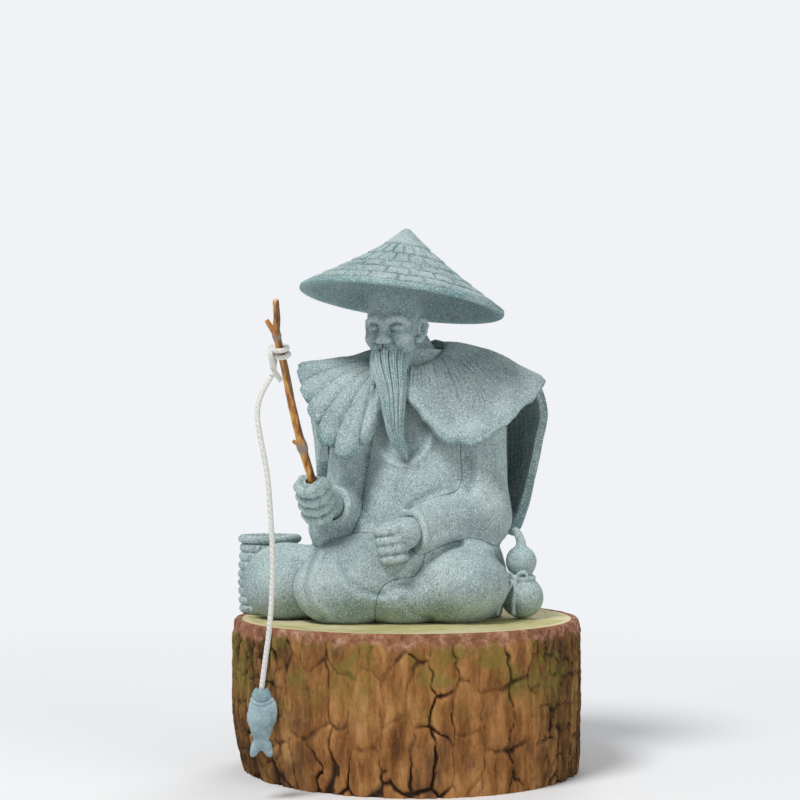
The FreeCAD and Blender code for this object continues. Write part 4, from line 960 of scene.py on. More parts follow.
MANTLE_ROWS = (
    (4, 1.00, 1.00, 0.27), (30, 0.95, 1.02, 0.20), (60, 0.86, 1.04, 0.15), (90, 0.82, 1.06, 0.12),
    (120, 0.82, 0.98, 0.10), (150, 0.80, 0.82, 0.08), (172, 0.76, 0.66, 0.06), (186, 0.73, 0.58, 0.05),
)
SHEET_THICKNESS = 2.0


def collar(azimuth):
    """Radius and height of the neck's opening, which dips in front."""
    front = (0.5 + 0.5 * np.cos(np.radians(azimuth - 245.0))) ** 2
    return 6.8 + 5.2 * front, CAPE_TOP - 8.0 * front


def cape_profile(azimuth, share, more):
    """Radius and height of the shoulder cape's outer side at shares of the way from neck to hem."""
    neck, top = collar(azimuth)
    reach = CAPE_REACH * smooth_row(CAPE_ROWS, azimuth, 1)
    hem = CAPE_TOP - CAPE_DROP * smooth_row(CAPE_ROWS, azimuth, 2)
    slope = (top - hem) * CAPE_CURVE
    radius = neck + (reach - neck) * share
    height = top - (top - hem) * share ** CAPE_CURVE
    late = more * share ** 6
    return radius + late, height - late * slope / (reach - neck) * 0.6


def sheet_piece(name, azimuth, radius, height, lift, replaced, stain, shade, within=0.45):
    """A sheet round the spine: an outer grid raised by its pleats, and an inner one a thickness below."""
    down_r, down_z = np.gradient(radius, axis=0), np.gradient(height, axis=0)
    length = np.hypot(down_r, down_z)
    normal_r, normal_z = -down_z / length, down_r / length
    angle = np.radians(azimuth)
    grids = []
    for offset in (lift, lift * within - SHEET_THICKNESS):
        grids.append(turned_points(angle, radius + normal_r * offset, height + normal_z * offset))
    points = np.vstack(grids) + (*SPINE, 0)
    faces = sheet_faces(*radius.shape)[:, ::-1]
    # Painted shade: the crease depth and the given shade darken the stone in the pleats' valleys.
    hollow = 1.5 * hollow_values(points, faces) + np.tile(shade.ravel(), 2)
    values = {"hollow": hollow, "stain": np.tile((np.zeros(radius.shape) + stain).ravel(), 2)}
    mesh_piece(name, points, faces, replaced, values)


def rounded_pleat(phase, sharpness):
    """A pleat's height from 0 in its sharp valley to 1 on its round crest."""
    part = phase - np.floor(phase)
    return np.clip(1 - (2 * part - 1) ** 2, 0, 1) ** sharpness


def fine_ribs(azimuth, share, wander):
    """Height and painted valley shade of fine ribs that fade towards the hem, less so behind."""
    phase = (azimuth + wander) / RIB_DEGREES
    number = np.floor(phase)
    fading = 1 - (0.92 - 0.5 * smooth_step(20, 60, azimuth)) * smooth_step(0.34, 0.88, share)
    fading = fading * (0.90 + 0.6 * noise([number * 1.3, 0 * share], 215))
    lift = rounded_pleat(phase, 0.6) * (0.62 + 0.24 * noise([number, 0 * share], 211))
    lift = lift * (0.45 + 0.55 * smooth_step(0.0, 0.15, share)) * np.clip(fading, 0, 1.2)
    return lift, 1.1 * (1 - rounded_pleat(phase, 0.7)) ** 2 * np.clip(fading, 0, 1)


def broad_pleats(azimuth, share, wander):
    """Height and painted valley shade of broad pleats with ribs on them, and the scallops that they end in.
    """
    phase = (azimuth - 172 + 0.4 * wander + 5.0 * (share - share ** 2)) / PLEAT_DEGREES
    rib_phase = phase * 3.0 + 0.25 * noise([azimuth * 0.06, share * 2.0], 217)
    lift = rounded_pleat(phase, 0.42) * 2.1 * (0.25 + 0.75 * share)
    lift = lift + rounded_pleat(rib_phase, 0.6) * 0.30 * (1 - 0.3 * share)
    shade = 0.62 * (1 - rounded_pleat(phase, 0.5)) ** 2 * (0.45 + 0.55 * share)
    shade = shade + 0.30 * (1 - rounded_pleat(rib_phase, 0.7)) ** 2
    return lift, shade, (rounded_pleat(phase, 0.55) - 0.62) * 2.1


def shoulder_cape():
    """The shoulder cape: fine ribs on its left and behind, seven broad pleats on its right wing."""
    columns, rows = 680, 70
    hem_shares = (0.968, 0.979, 0.988, 0.995, 1.0)
    share = np.concatenate([np.linspace(0, 0.955, rows - len(hem_shares)), hem_shares])[:, None]
    azimuth = np.linspace(-104, 244, columns)[None, :] + 0 * share
    share = share + 0 * azimuth
    wide = smooth_step(168, 178, azimuth)
    wander = 1.4 * noise([azimuth * 0.05, share * 3.0], 201) * share
    fine, fine_shade = fine_ribs(azimuth, share, wander)
    broad, broad_shade, scallops = broad_pleats(azimuth, share, wander)
    lift = fine * (1 - wide) + broad * wide
    lift = lift - 0.50 - 0.75 * wide + 0.22 * layered_noise([azimuth * 0.10, share * 4], 2, 221)
    lift = lift - 0.55 * smooth_step(0.93, 1.0, share) ** 2
    nicks = 0.30 * noise([azimuth * 0.24, 0 * share], 231) + 0.12 * noise([azimuth * 0.8, 0 * share], 233)
    nicks = nicks - 1.3 * bell(azimuth + 57, 6.5)
    radius, height = cape_profile(azimuth, share, nicks * (1 - wide) + scallops * wide)
    stain = 0.55 * smooth_step(0.92, 1.0, share) * (0.5 + 0.5 * noise([azimuth * 0.06, 0 * share], 241))
    shade = fine_shade * (1 - wide) + broad_shade * wide
    sheet_piece("straw_cape", azimuth, radius, height, lift, "shoulder_cape", np.clip(stain, 0, 1), shade)


def under_cape(azimuth, radius):
    """Height of the shoulder cape's underside at a radius."""
    neck, top = collar(azimuth)
    reach = CAPE_REACH * smooth_row(CAPE_ROWS, azimuth, 1)
    hem = CAPE_TOP - CAPE_DROP * smooth_row(CAPE_ROWS, azimuth, 2)
    along = np.clip((radius - neck) / (reach - neck), 0, 1)
    return top - (top - hem) * along ** CAPE_CURVE - 3.1


def back_cape():
    """The long cape: a fold under the shoulder cape, then a fall of fine straw to a ragged hem."""
    columns, rows = 620, 74
    azimuth = np.linspace(4, 186, columns)[None, :] + np.zeros((rows, 1))
    t = np.linspace(0, 1, rows)[:, None] + 0 * azimuth
    reach = MANTLE_REACH * smooth_row(MANTLE_ROWS, azimuth, 1)
    drawn_in = reach * smooth_row(MANTLE_ROWS, azimuth, 3)
    hem = MANTLE_TOP - MANTLE_DROP * smooth_row(MANTLE_ROWS, azimuth, 2)
    top_reach = reach * (0.36 + (0.93 - 0.36) * np.clip(t / FOLD_SHARE, 0, 1))
    fold = under_cape(azimuth, reach) - 1.1
    down = np.clip((t - FOLD_SHARE) / (1 - FOLD_SHARE), 0, 1)
    turn = smooth_step(FOLD_SHARE, 0.46, t)
    phase = (azimuth + 9.0 * down + 0.9 * noise([azimuth * 0.07, t * 4], 301)) / STRAW_DEGREES
    swing = 1.2 * noise([azimuth * 0.035 + 5, down * 1.2], 311)
    radius = top_reach * (1 - turn) + turn * (reach - drawn_in * down ** 1.7 + swing * down)
    ragged = (rounded_pleat(phase, 0.8) - 0.5) * 1.1 + 0.9 * noise([azimuth * 0.16, 0 * t], 321)
    height = under_cape(azimuth, top_reach) * (1 - turn) + turn * (fold - (fold - hem) * down)
    height = height - ragged * smooth_step(0.6, 1.0, down)
    crest = rounded_pleat(phase, 0.6)
    strength = 0.34 + 0.22 * noise([np.floor(phase), 0 * t], 331)
    lift = crest * 1.6 * strength * (0.3 + 0.7 * smooth_step(0.30, 0.50, t))
    lift = lift - 0.35 - 0.35 * smooth_step(0.97, 1.0, t)
    lift = lift + 0.2 * layered_noise([azimuth * 0.15, t * 8], 2, 341)
    # Painted shade in the valleys between the straws.
    shade = 0.34 * (1 - crest) ** 2
    sheet_piece("back_straw", azimuth, radius, height, lift, "back_cape", 0.10, shade, 1.0)


shoulder_cape()
back_cape()


# Hat, turned about its own axis and leaned as it sits on the head

HAT_MIDDLE = np.array((-1.4, 0.4, 115.0))
HAT_LEAN = np.array(Matrix.Rotation(math.radians(9.0), 3, "Y") @ Matrix.Rotation(math.radians(-4.5), 3, "X"))
HAT_RADIUS = 25.8
HAT_HEIGHT = 19.4
HAT_RIM = 2.4
HAT_RING_SHARES = (0.25, 0.41, 0.57, 0.69, 0.83, 0.955)
HAT_RIB_COUNT = 21
HAT_LINE_DEPTH = 0.40
HAT_TIP_SHIFT = 1.5
HAT_COLUMNS = 640
HAT_MOUTH = 0.90
HAT_SEAT = 0.335
HAT_VAULT = 7.6
HAT_RIM_ROWS = (
    (1.0, HAT_RIM - 0.25), (1.004, HAT_RIM * 0.78), (0.999, HAT_RIM * 0.60), (0.986, HAT_RIM * 0.50),
    (0.965, HAT_RIM * 0.48), (0.935, HAT_RIM * 0.50),
)


def hat_weave(turn, share):
    """Radius and height of the hat's outer side, and how far each place lies in a seam of its weave."""
    inward = 1 - share
    height = HAT_RIM + (HAT_HEIGHT - HAT_RIM + 0.55) * (inward * 0.76 + 0.24 * inward ** 3.0)
    height = height - 0.55 * bell(share, 0.022)
    wobble = 0.005 * noise([np.cos(turn) * 3, np.sin(turn) * 3, share * 6], 401)
    step, course, seam = 0.0, 0.0, 0.0
    for edge in HAT_RING_SHARES:
        place = share + wobble - edge
        seam = np.maximum(seam, bell(place, 0.016))
        step = step + 0.14 * np.exp(-np.clip(-place, 0, 1) / 0.04) * (place < 0)
        course = course + (place > 0)
    phase = turn / TURN * HAT_RIB_COUNT + 0.5 * (course % 2) + 0.5
    phase = phase + 0.10 * noise([np.floor(phase) * 3.1, course * 2.3], 411)
    gap = np.abs(phase - np.floor(phase) - 0.5) * TURN * share * HAT_RADIUS / HAT_RIB_COUNT
    rib = bell(gap, 0.40) * (course > 0) * smooth_step(0.16, 0.20, share)
    seam = np.maximum(seam, rib * (share < HAT_RING_SHARES[-1]))
    worn = 0.10 * layered_noise([np.cos(turn) * 8 * share, np.sin(turn) * 8 * share], 3, 421)
    dent = HAT_LINE_DEPTH * seam + worn - step
    return share * HAT_RADIUS - 0.25 * dent, height - 0.95 * dent, seam


def hat():
    azimuth = full_turn(HAT_COLUMNS)
    share = np.concatenate([(0.008, 0.02, 0.035), np.linspace(0.05, 1.0, 120)])[:, None] + 0 * azimuth
    outer_r, outer_z, seam = hat_weave(azimuth + 0 * share, share)
    rim = [(np.full(azimuth.shape, HAT_RADIUS * place), np.full(azimuth.shape, level))
           for place, level in HAT_RIM_ROWS]
    inner = np.linspace(HAT_MOUTH, HAT_SEAT, 26)[:, None] + 0 * azimuth
    vault = 1.45 + 6.1 * ((HAT_MOUTH - inner) / (HAT_MOUTH - HAT_SEAT)) ** 0.9
    vault = vault + 0.08 * np.cos(azimuth * 36) * np.cos(inner * 90)
    middle = (np.full(azimuth.shape, 0.012 * HAT_RADIUS), np.full(azimuth.shape, HAT_VAULT))
    radius, level = stacked([(outer_r, outer_z), *rim, (inner * HAT_RADIUS, vault), middle])
    tips = ((0, 0, outer_z[0, 0]), (0, 0, HAT_VAULT))
    local = np.vstack([turned_points(azimuth, radius, level), tips])
    reach = np.hypot(local[:, 0], local[:, 1]) / HAT_RADIUS
    local[:, 2] -= (1.15 - 0.5 * local[:, 0] / HAT_RADIUS) * reach ** 3
    local[:, 0] -= HAT_TIP_SHIFT * np.clip(local[:, 2] / HAT_HEIGHT, 0, 1) ** 2
    points = local @ HAT_LEAN.T + HAT_MIDDLE
    rim_end = share.size + len(rim) * HAT_COLUMNS
    stain = np.full(len(points), 0.35)
    stain[:share.size] = (0.8 * smooth_step(0.95, 0.965, share) + 0.12 * (share < 0.95)).ravel()
    stain[share.size:rim_end] = 0.8
    # Painted shade: dark seams in the weave, and the whole underside darkened as the shade under the brim.
    hollow = np.full(len(points), 0.26)
    hollow[:share.size] = 0.75 * seam.ravel() - 0.05
    hollow[share.size:rim_end] = -0.05
    faces = closed_faces(len(radius), HAT_COLUMNS, upward=False)
    mesh_piece("straw_hat", points, faces, "hat", {"hollow": hollow, "stain": stain})


hat()


# Creel: woven rows of beads between its stakes, a rope rim and a shallow open top

CREEL_MIDDLE = (-35.0, 11.0, 37.0)
CREEL_RADIUS = 8.2
CREEL_HEIGHT = 20.0
CREEL_RIM = 1.1
CREEL_FLOOR = 14.8
CREEL_COLUMNS = 416
CREEL_COURSES = 8


def creel_waist(share):
    """How wide the creel is at a share of its height."""
    return 0.86 + 0.14 * np.sin(math.pi * (0.2 + 0.62 * share))


def wicker(turn, share):
    """Radius of the creel's wall: courses of beads, set off from one course to the next."""
    course = share * CREEL_COURSES
    number = np.floor(course)
    bulge = np.sqrt(np.clip(1 - (2 * (course - number) - 1) ** 2, 0, 1))
    bead = bulge * (0.35 + 0.65 * np.sqrt(np.abs(np.cos(turn * 13 + math.pi * number))))
    radius = CREEL_RADIUS * creel_waist(share) - 0.95 + 0.9 * bead - 0.1 * (1 - bulge)
    return radius + 0.06 * layered_noise([np.cos(turn) * 9, np.sin(turn) * 9, share * 20], 2, 501)


def creel():
    azimuth = full_turn(CREEL_COLUMNS)
    wall = CREEL_HEIGHT - 2 * CREEL_RIM
    share = np.linspace(0, 1, 120)[:, None] + 0 * azimuth
    neck = CREEL_RADIUS * creel_waist(1.0)
    ring = np.linspace(-0.35 * math.pi, 1.1 * math.pi, 20)[:, None] + 0 * azimuth
    twist = 0.66 + 0.34 * np.sqrt(np.abs(np.sin(azimuth * 15 + ring * 0.9)))
    rim_r = neck - 0.75 + CREEL_RIM * 1.05 * np.cos(ring) * twist
    rim_z = wall + CREEL_RIM * 0.95 + CREEL_RIM * 0.98 * np.sin(ring) * twist
    inside_r = np.array([[neck - 1.75], [neck - 1.8], [neck - 2.2], [3.0], [0.1]]) + 0 * azimuth
    inside_z = np.array([[17.6], [15.4], [14.9], [CREEL_FLOOR], [CREEL_FLOOR]]) + 0 * azimuth
    bands = [(wicker(azimuth + 0 * share, share), wall * share), (rim_r, rim_z), (inside_r, inside_z)]
    radius, height = stacked(bands)
    tips = ((0, 0, 0), (0, 0, CREEL_FLOOR))
    points = np.vstack([turned_points(azimuth, radius, height), tips]) + CREEL_MIDDLE
    faces = closed_faces(len(radius), CREEL_COLUMNS)
    # Painted shade between the beads of the weave, from their crease depth.
    mesh_piece("wicker_creel", points, faces, "creel", {"hollow": hollow_values(points, faces)})


creel()


# Robe: one drapery carved from the forms of six nodes, then parted among them along its creases

ROBE_LOW = (-43.5, -25.5, 36.6)
ROBE_HIGH = (33.5, 22.5, 104.0)
ROBE_TOP = 103.6
ROBE_STEP = 0.36
CUFF_RADIUS = 3.4
ROBE_LEGS = {
    "left_leg": (((11.6, -10.0, 46.1), (13.2, 13.8, 10.6)), ((-1.4, -13.4, 43.0), (11.6, 9.6, 7.0)), 2.0),
    "right_leg": (((-29.6, -3.5, 45.8), (11.0, 10.6, 9.8)), ((-17.0, -3.5, 45.8), (16.0, 10.6, 9.8)), 2.0),
    "skirt": (((-15.0, -14.6, 45.1), (12.4, 9.4, 9.4)), ((-7.0, -9.6, 50.0), (17.0, 11.6, 8.4)), 3.0),
}
CUFF_HOLLOWS = (((6.0, -13.4, 60.5), (-4.0, -23.3, 58.2)), ((-17.6, -8.0, 64.6), (-19.4, -13.0, 65.1)))
TORSO_HEIGHT = 65.0
TORSO_HALF_WIDTH = 23.0
TORSO_HALF_DEPTH = 18.0
TORSO_ROWS = (
    (0.00, 0.94, 0.84), (0.18, 1.00, 1.00), (0.46, 0.72, 0.92), (0.76, 0.61, 0.64), (0.93, 0.48, 0.44),
    (1.00, 0.36, 0.40),
)


def shifted(line, x_shift, z_shift):
    return tuple((x + x_shift, z + z_shift) for x, z in line)


# Lines of x and z, seen from the front. Each fold has a width, a depth below 0 for a ridge, and its line.

NECKLINE = (
    (-7.6, 84.5), (-7.6, 82.0), (-6.5, 78.7), (-3.8, 75.8), (-0.8, 75.1), (2.6, 76.4), (5.3, 79.5),
    (6.6, 84.0),
)
LAP = ((-1.3, 49.1), (1.0, 52.2), (4.2, 54.4), (8.0, 57.0), (11.7, 58.2), (15.0, 56.8), (21.9, 54.6))
HEM = ((-20.6, 53.8), (-22.2, 49.6), (-22.6, 45.6), (-21.4, 41.6), (-18.4, 38.6))
FOLDS = (
    (1.1, 0.75, ((-9.8, 77.0), (-10.6, 71.0), (-10.8, 66.5), (-9.6, 61.0))),
    (1.1, 0.8, ((14.8, 77.0), (15.8, 72.5), (15.0, 68.6))),
    (1.2, 0.35, ((10.6, 74.0), (12.0, 70.4), (10.6, 67.5))),
    (0.9, 0.5, ((8.0, 68.9), (3.6, 66.8), (0.4, 64.6))),
    (0.6, -0.4, ((1.4, 63.8), (3.3, 60.2), (4.4, 56.2))),
    (0.6, 0.35, ((3.1, 64.8), (5.0, 61.0), (6.1, 57.0))),
    (1.1, 0.5, ((-8.0, 61.5), (-6.4, 58.4), (-2.8, 56.6))),
    (1.5, -0.9, LAP),
    (1.5, 0.5, shifted(LAP[1:], 0.6, -3.0)),
    (1.3, 0.9, ((0.4, 46.4), (1.2, 45.6))),
    (0.9, 0.5, ((-1.0, 42.8), (1.2, 39.8), (5.4, 38.2))),
    (1.8, 0.30, ((4.0, 47.0), (8.6, 49.6), (13.0, 50.8))),
    (1.0, -0.60, HEM),
    (0.9, 0.55, shifted(HEM, -1.6, 0.0)),
    (0.75, 0.50, ((-16.2, 52.0), (-13.9, 47.6), (-9.6, 44.9), (-5.6, 44.5), (-1.0, 46.8))),
    (1.0, -0.30, ((-16.8, 50.6), (-14.2, 46.0), (-9.8, 43.4), (-5.0, 43.0))),
    (1.6, 0.25, ((-17.0, 41.0), (-10.0, 39.6), (-2.0, 39.8))),
)


def low_stain(points):
    """A stain that grows towards the log."""
    wave = 2.0 * noise([points[:, 0] * 0.2, points[:, 1] * 0.2], 621)
    return 0.32 * smooth_step(45.0, 38.5, points[:, 2] + wave)


def clay_noise(clay, scale, octaves, seed):
    shape = np.broadcast_shapes(clay.x.shape, clay.y.shape, clay.z.shape)
    coords = [np.broadcast_to(axis * scale, shape) for axis in (clay.x, clay.y, clay.z)]
    return layered_noise(coords, octaves, seed).astype(np.float32)


def robe():
    clay = Clay(ROBE_LOW, ROBE_HIGH, ROBE_STEP)
    forms = {"torso": torso_form(clay)}
    for name, (first, second, blend) in ROBE_LEGS.items():
        forms[name] = join(clay.ellipsoid(*first), clay.ellipsoid(*second), blend)
    forms["left_sleeve"] = left_sleeve_form(clay)
    forms["right_sleeve"] = right_sleeve_form(clay)
    whole, *others = forms.values()
    for form in others:
        whole = join(whole, form, 1.6)
    whole = drape(clay, whole)
    for start, end in CUFF_HOLLOWS:
        whole = carve(whole, clay.bone(start, end, CUFF_RADIUS, CUFF_RADIUS), 0.5)
    whole = np.maximum(whole, LOG_HEIGHT - clay.z)
    whole = np.maximum(whole, clay.z - ROBE_TOP)
    for name, form in forms.items():
        rest = np.minimum.reduce([forms[other] for other in forms if other != name])
        region = (form - rest) / 2
        clay_piece(f"robe_{name}", clay, np.maximum(whole, region), name, low_stain, around=whole)


def torso_form(clay):
    rise = np.clip((clay.z - LOG_HEIGHT) / TORSO_HEIGHT, 0, 1)
    wide = TORSO_HALF_WIDTH * smooth_row(TORSO_ROWS, rise, 1)
    deep = TORSO_HALF_DEPTH * smooth_row(TORSO_ROWS, rise, 2)
    x, y = clay.x - SPINE[0], clay.y - SPINE[1]
    near = np.sqrt((x / wide) ** 2 + (y / deep) ** 2)
    return ((near - 1) * np.minimum(wide, deep)).astype(np.float32) * 0.9


def left_sleeve_form(clay):
    arm = clay.bone((16.6, 3.3, 88.5), (17.2, -2.4, 63.2), 8.4, 7.9)
    forearm = clay.bone((17.2, -2.4, 63.0), (1.6, -17.8, 59.6), 7.8, 5.2)
    form = join(arm, forearm, 3.0)
    form = join(form, clay.ellipsoid((20.5, -1.0, 61.0), (5.0, 6.5, 6.0)), 2.5)
    return np.maximum(form, clay.beyond((1.0, -18.4, 59.4), (-0.702, -0.693, -0.16)))


def right_sleeve_form(clay):
    arm = clay.bone((-10.8, 0.6, 87.5), (-13.4, 0.6, 64.4), 7.6, 7.4)
    forearm = clay.bone((-13.4, 0.6, 63.6), (-18.2, -9.8, 64.8), 7.0, 5.2)
    hanging = clay.ellipsoid((-18.6, -4.6, 59.4), (5.8, 6.6, 6.2))
    form = join(join(arm, forearm, 2.0), hanging, 2.0)
    return np.maximum(form, clay.beyond((-18.5, -10.6, 64.8), (-0.417, -0.905, 0.10)))


def drape(clay, whole):
    """Folds, hems and creases, drawn from the front and fading out behind."""
    front = smooth_step(2.0, -6.0, clay.y)

    def folded(form, width, depth, points, mask=1.0):
        line, _ = smooth_path(points, 4 * len(points))
        ridge = depth * bell(clay.front_line(line), width) * front * mask
        return form + ridge.astype(np.float32)

    upper = smooth_step(66.0, 70.0, clay.z)
    whole = folded(whole, 1.2, -0.75, NECKLINE, upper)
    whole = folded(whole, 1.6, 0.8, [(x * 0.72 - 0.2, z + 2.2) for x, z in NECKLINE], upper)
    whole = carve(whole, clay.ellipsoid((-0.6, -12.5, 86.0), (5.6, 4.2, 9.0)), 1.2)
    for width, depth, points in FOLDS:
        whole = folded(whole, width, depth, points)
    return whole + 0.14 * clay_noise(clay, 0.14, 2, 601) + 0.04 * clay_noise(clay, 0.9, 1, 611)


robe()


# Fists: four curled fingers stacked along an axis, the thumb laid over them

FINE_STEP = 0.17
ROD_HOLE = 1.48
# How strongly the fists' creases are painted in shade.
HAND_CREASE = 2.6
FINGER_CURL = (
    (-125, 0.98, 0.5), (-80, 1.08, 0.2), (-38, 1.04, 0.0), (4, 1.02, -0.1), (44, 1.0, 0.0), (84, 0.90, 0.25),
)


def fist(clay, bottom, axis, front, wrist, finger=1.36, reach=3.15, thumb=True):
    """A closed hand. Front is the way that its fingers' middles look."""
    front = unit(np.array(front) - axis * (np.array(front) @ axis))
    side = np.cross(axis, front)
    length = finger * 8
    form = clay.bone(bottom + axis * 2.4, bottom + axis * (length - 2.4), 3.0, 3.1)
    for number in range(4):
        level = finger * (2 * number + 1)
        size = finger * (1.0 if 0 < number < 3 else 0.94)
        stations = []
        for angle, out, drop in FINGER_CURL:
            turn = math.radians(angle)
            way = front * math.cos(turn) + side * math.sin(turn)
            stations.append((bottom + axis * (level + drop) + way * reach * out, size))
        form = join(form, clay.chain(stations, 0.3), 0.35)
    if thumb:
        root = bottom + axis * (length * 0.72) - front * 1.5 + side * 2.6
        bend = bottom + axis * (length + 0.1) + front * 1.4 + side * 2.9
        tip = bottom + axis * (length - 0.6) + front * 3.6 + side * 0.2
        form = join(form, clay.chain(((root, 1.6), (bend, 1.35), (tip, 1.15)), 0.5), 0.5)
    return join(form, clay.bone(bottom + axis * length * 0.5 - front * 0.8, wrist, 3.5, 3.3), 1.4)


def hands():
    axis = unit(ROD_KNOB - ROD_FOOT)
    bottom = ROD_FOOT - axis * 1.65
    clay = Clay((-27.5, -25.5, 59.0), (-12.5, -6.5, 76.5), FINE_STEP)
    form = fist(clay, bottom, axis, (-0.15, -0.9, -0.5), (-18.0, -9.0, 64.9))
    hole = clay.bone(bottom + axis * 1.5, bottom + axis * 16, ROD_HOLE, ROD_HOLE)
    form = carve(form, hole, 0.25) + 0.05 * clay_noise(clay, 0.7, 2, 701)
    clay_piece("right_fist", clay, form, "right_hand", 0.4, HAND_CREASE)
    axis = unit((0.26, 0.10, -1.0))
    bottom = np.array((-4.0, -21.6, 56.4)) - axis * 4.6
    clay = Clay((-10.5, -28.5, 49.0), (6.5, -13.5, 66.5), FINE_STEP)
    form = fist(clay, bottom, axis, (-0.72, -0.68, 0.0), (1.8, -17.6, 59.4), 1.14, 2.5, thumb=False)
    along = unit((-0.80, -0.52, -0.28))
    across = unit(np.array((0.0, 0.1, 1.0)) - along * along[2])
    back = clay.ellipsoid((-0.9, -20.6, 59.0), (4.6, 3.6, 3.3), (along, across, np.cross(along, across)))
    form = join(form, back, 1.3) + 0.05 * clay_noise(clay, 0.7, 2, 711)
    clay_piece("left_fist", clay, form, "left_hand", 0.15, HAND_CREASE)


hands()


# Head: a calm old man's face on even proportions, turned a little to its right

HEAD_CENTRE = np.array((-3.0, -3.0, 108.4))
FACE = np.array((-0.3746, -0.9272, 0.0))
FACE_LEFT = np.array((0.9272, -0.3746, 0.0))
UPWARD = np.array((0.0, 0.0, 1.0))
FACE_AXES = (FACE_LEFT, FACE, UPWARD)
HEAD_UNDER_HAT = 7.9
BROW = ((0.9, 7.0, 1.5), (2.4, 6.95, 2.3), (4.0, 6.1, 2.3), (5.4, 4.7, 1.3))
BROW_HAIR = ((1.0, 7.35, 1.7), (2.5, 7.3, 2.45), (4.1, 6.5, 2.35), (5.4, 5.1, 1.3))
EAR_RIM = (
    (6.4, 0.7, -2.7), (7.0, 0.2, -2.5), (7.7, -0.9, -0.8), (8.0, -1.3, 1.0), (7.7, -0.6, 2.3),
    (6.9, 0.4, 2.3), (6.6, 0.8, 1.4),
)
CHEEK_CREASE = ((1.9, 7.2, -2.9), (2.6, 6.9, -4.0), (3.1, 6.3, -5.2))
MOUTH = ((-1.7, 6.6, -5.35), (0, 7.1, -5.2), (1.7, 6.6, -5.35))
MOUSTACHE = (
    ((0.35, 7.5, -4.3), 0.45, 0.4), ((1.9, 7.4, -4.9), 0.95, 0.75), ((3.0, 6.6, -7.6), 0.95, 0.8),
    ((2.9, 7.2, -11.2), 0.8, 0.7), ((2.4, 8.9, -15.6), 0.62, 0.55), ((1.9, 10.3, -20.0), 0.25, 0.22),
)
BEARD_ROOT = (((0, -0.4, -3.4), 5.3, 4.4), ((0, 1.9, -6.6), 5.3, 4.9))
BEARD_FALL = (
    ((-4.3, -9.6, 98.6), 4.6, 4.3), ((-3.5, -12.5, 92.4), 3.4, 3.0), ((-3.25, -13.8, 87.3), 2.75, 2.4),
    ((-2.7, -13.9, 82.3), 1.95, 1.8), ((-0.9, -13.3, 77.8), 1.05, 1.0), ((0.2, -13.0, 76.3), 0.22, 0.2),
)


def on_head(side, forward, rise):
    """A place given by how far it lies to the head's left, to its front and above its middle."""
    return HEAD_CENTRE + FACE_LEFT * side + FACE * forward + UPWARD * rise


def face_lump(clay, place, radii):
    return clay.ellipsoid(on_head(*place), radii, FACE_AXES)


def face_arc(clay, places, radii, side=1):
    """A line of rods over the face, mirrored where the side is -1."""
    return clay.chain([(on_head(x * side, y, z), radius) for (x, y, z), radius in zip(places, radii)], 0.3)


def eye(clay, form, side):
    """A cheek, a brow and a closed eye with its lid's two lines."""
    form = join(form, face_lump(clay, (3.6 * side, 4.6, -2.3), (2.3, 1.9, 1.9)), 2.2)
    form = join(form, face_arc(clay, BROW, (0.5, 0.6, 0.55, 0.35), side), 2.0)
    form = carve(form, face_lump(clay, (2.95 * side, 7.75, 0.2), (1.9, 1.25, 1.1)), 1.5)
    form = join(form, face_lump(clay, (2.95 * side, 5.65, 0.0), (1.65, 1.20, 1.05)), 0.6)
    lid = [(2.95 + 1.5 * u, 6.72 - 0.55 * u * u, -0.42 - 0.30 * (1 - u * u)) for u in (-1, -0.5, 0, 0.5, 1)]
    form = carve(form, face_arc(clay, lid, (0.12, 0.22, 0.25, 0.22, 0.12), side), 0.2)
    upper = [(2.95 + 1.7 * u, 6.55 - 0.5 * u * u, 0.85 + 0.25 * (1 - u * u)) for u in (-1, 0, 1)]
    return carve(form, face_arc(clay, upper, (0.08, 0.12, 0.08), side), 0.3)


def ear(clay, form, side):
    form = join(form, face_lump(clay, (6.9 * side, -0.7, 0.0), (0.8, 1.5, 2.6)), 0.8)
    form = join(form, face_arc(clay, EAR_RIM, (0.75, 0.7, 0.5, 0.5, 0.5, 0.45, 0.35), side), 0.3)
    return carve(form, face_lump(clay, (7.7 * side, 0.1, 0.2), (0.8, 0.8, 1.4)), 0.4)


def brow_hair(clay, form, side):
    for drop in (0.0, 0.42, 0.84):
        hair = [(x, y - 0.12 * drop, z - drop + 0.1 * drop * k) for k, (x, y, z) in enumerate(BROW_HAIR)]
        form = join(form, face_arc(clay, hair, (0.14, 0.21, 0.19, 0.10), side), 0.15)
    return form


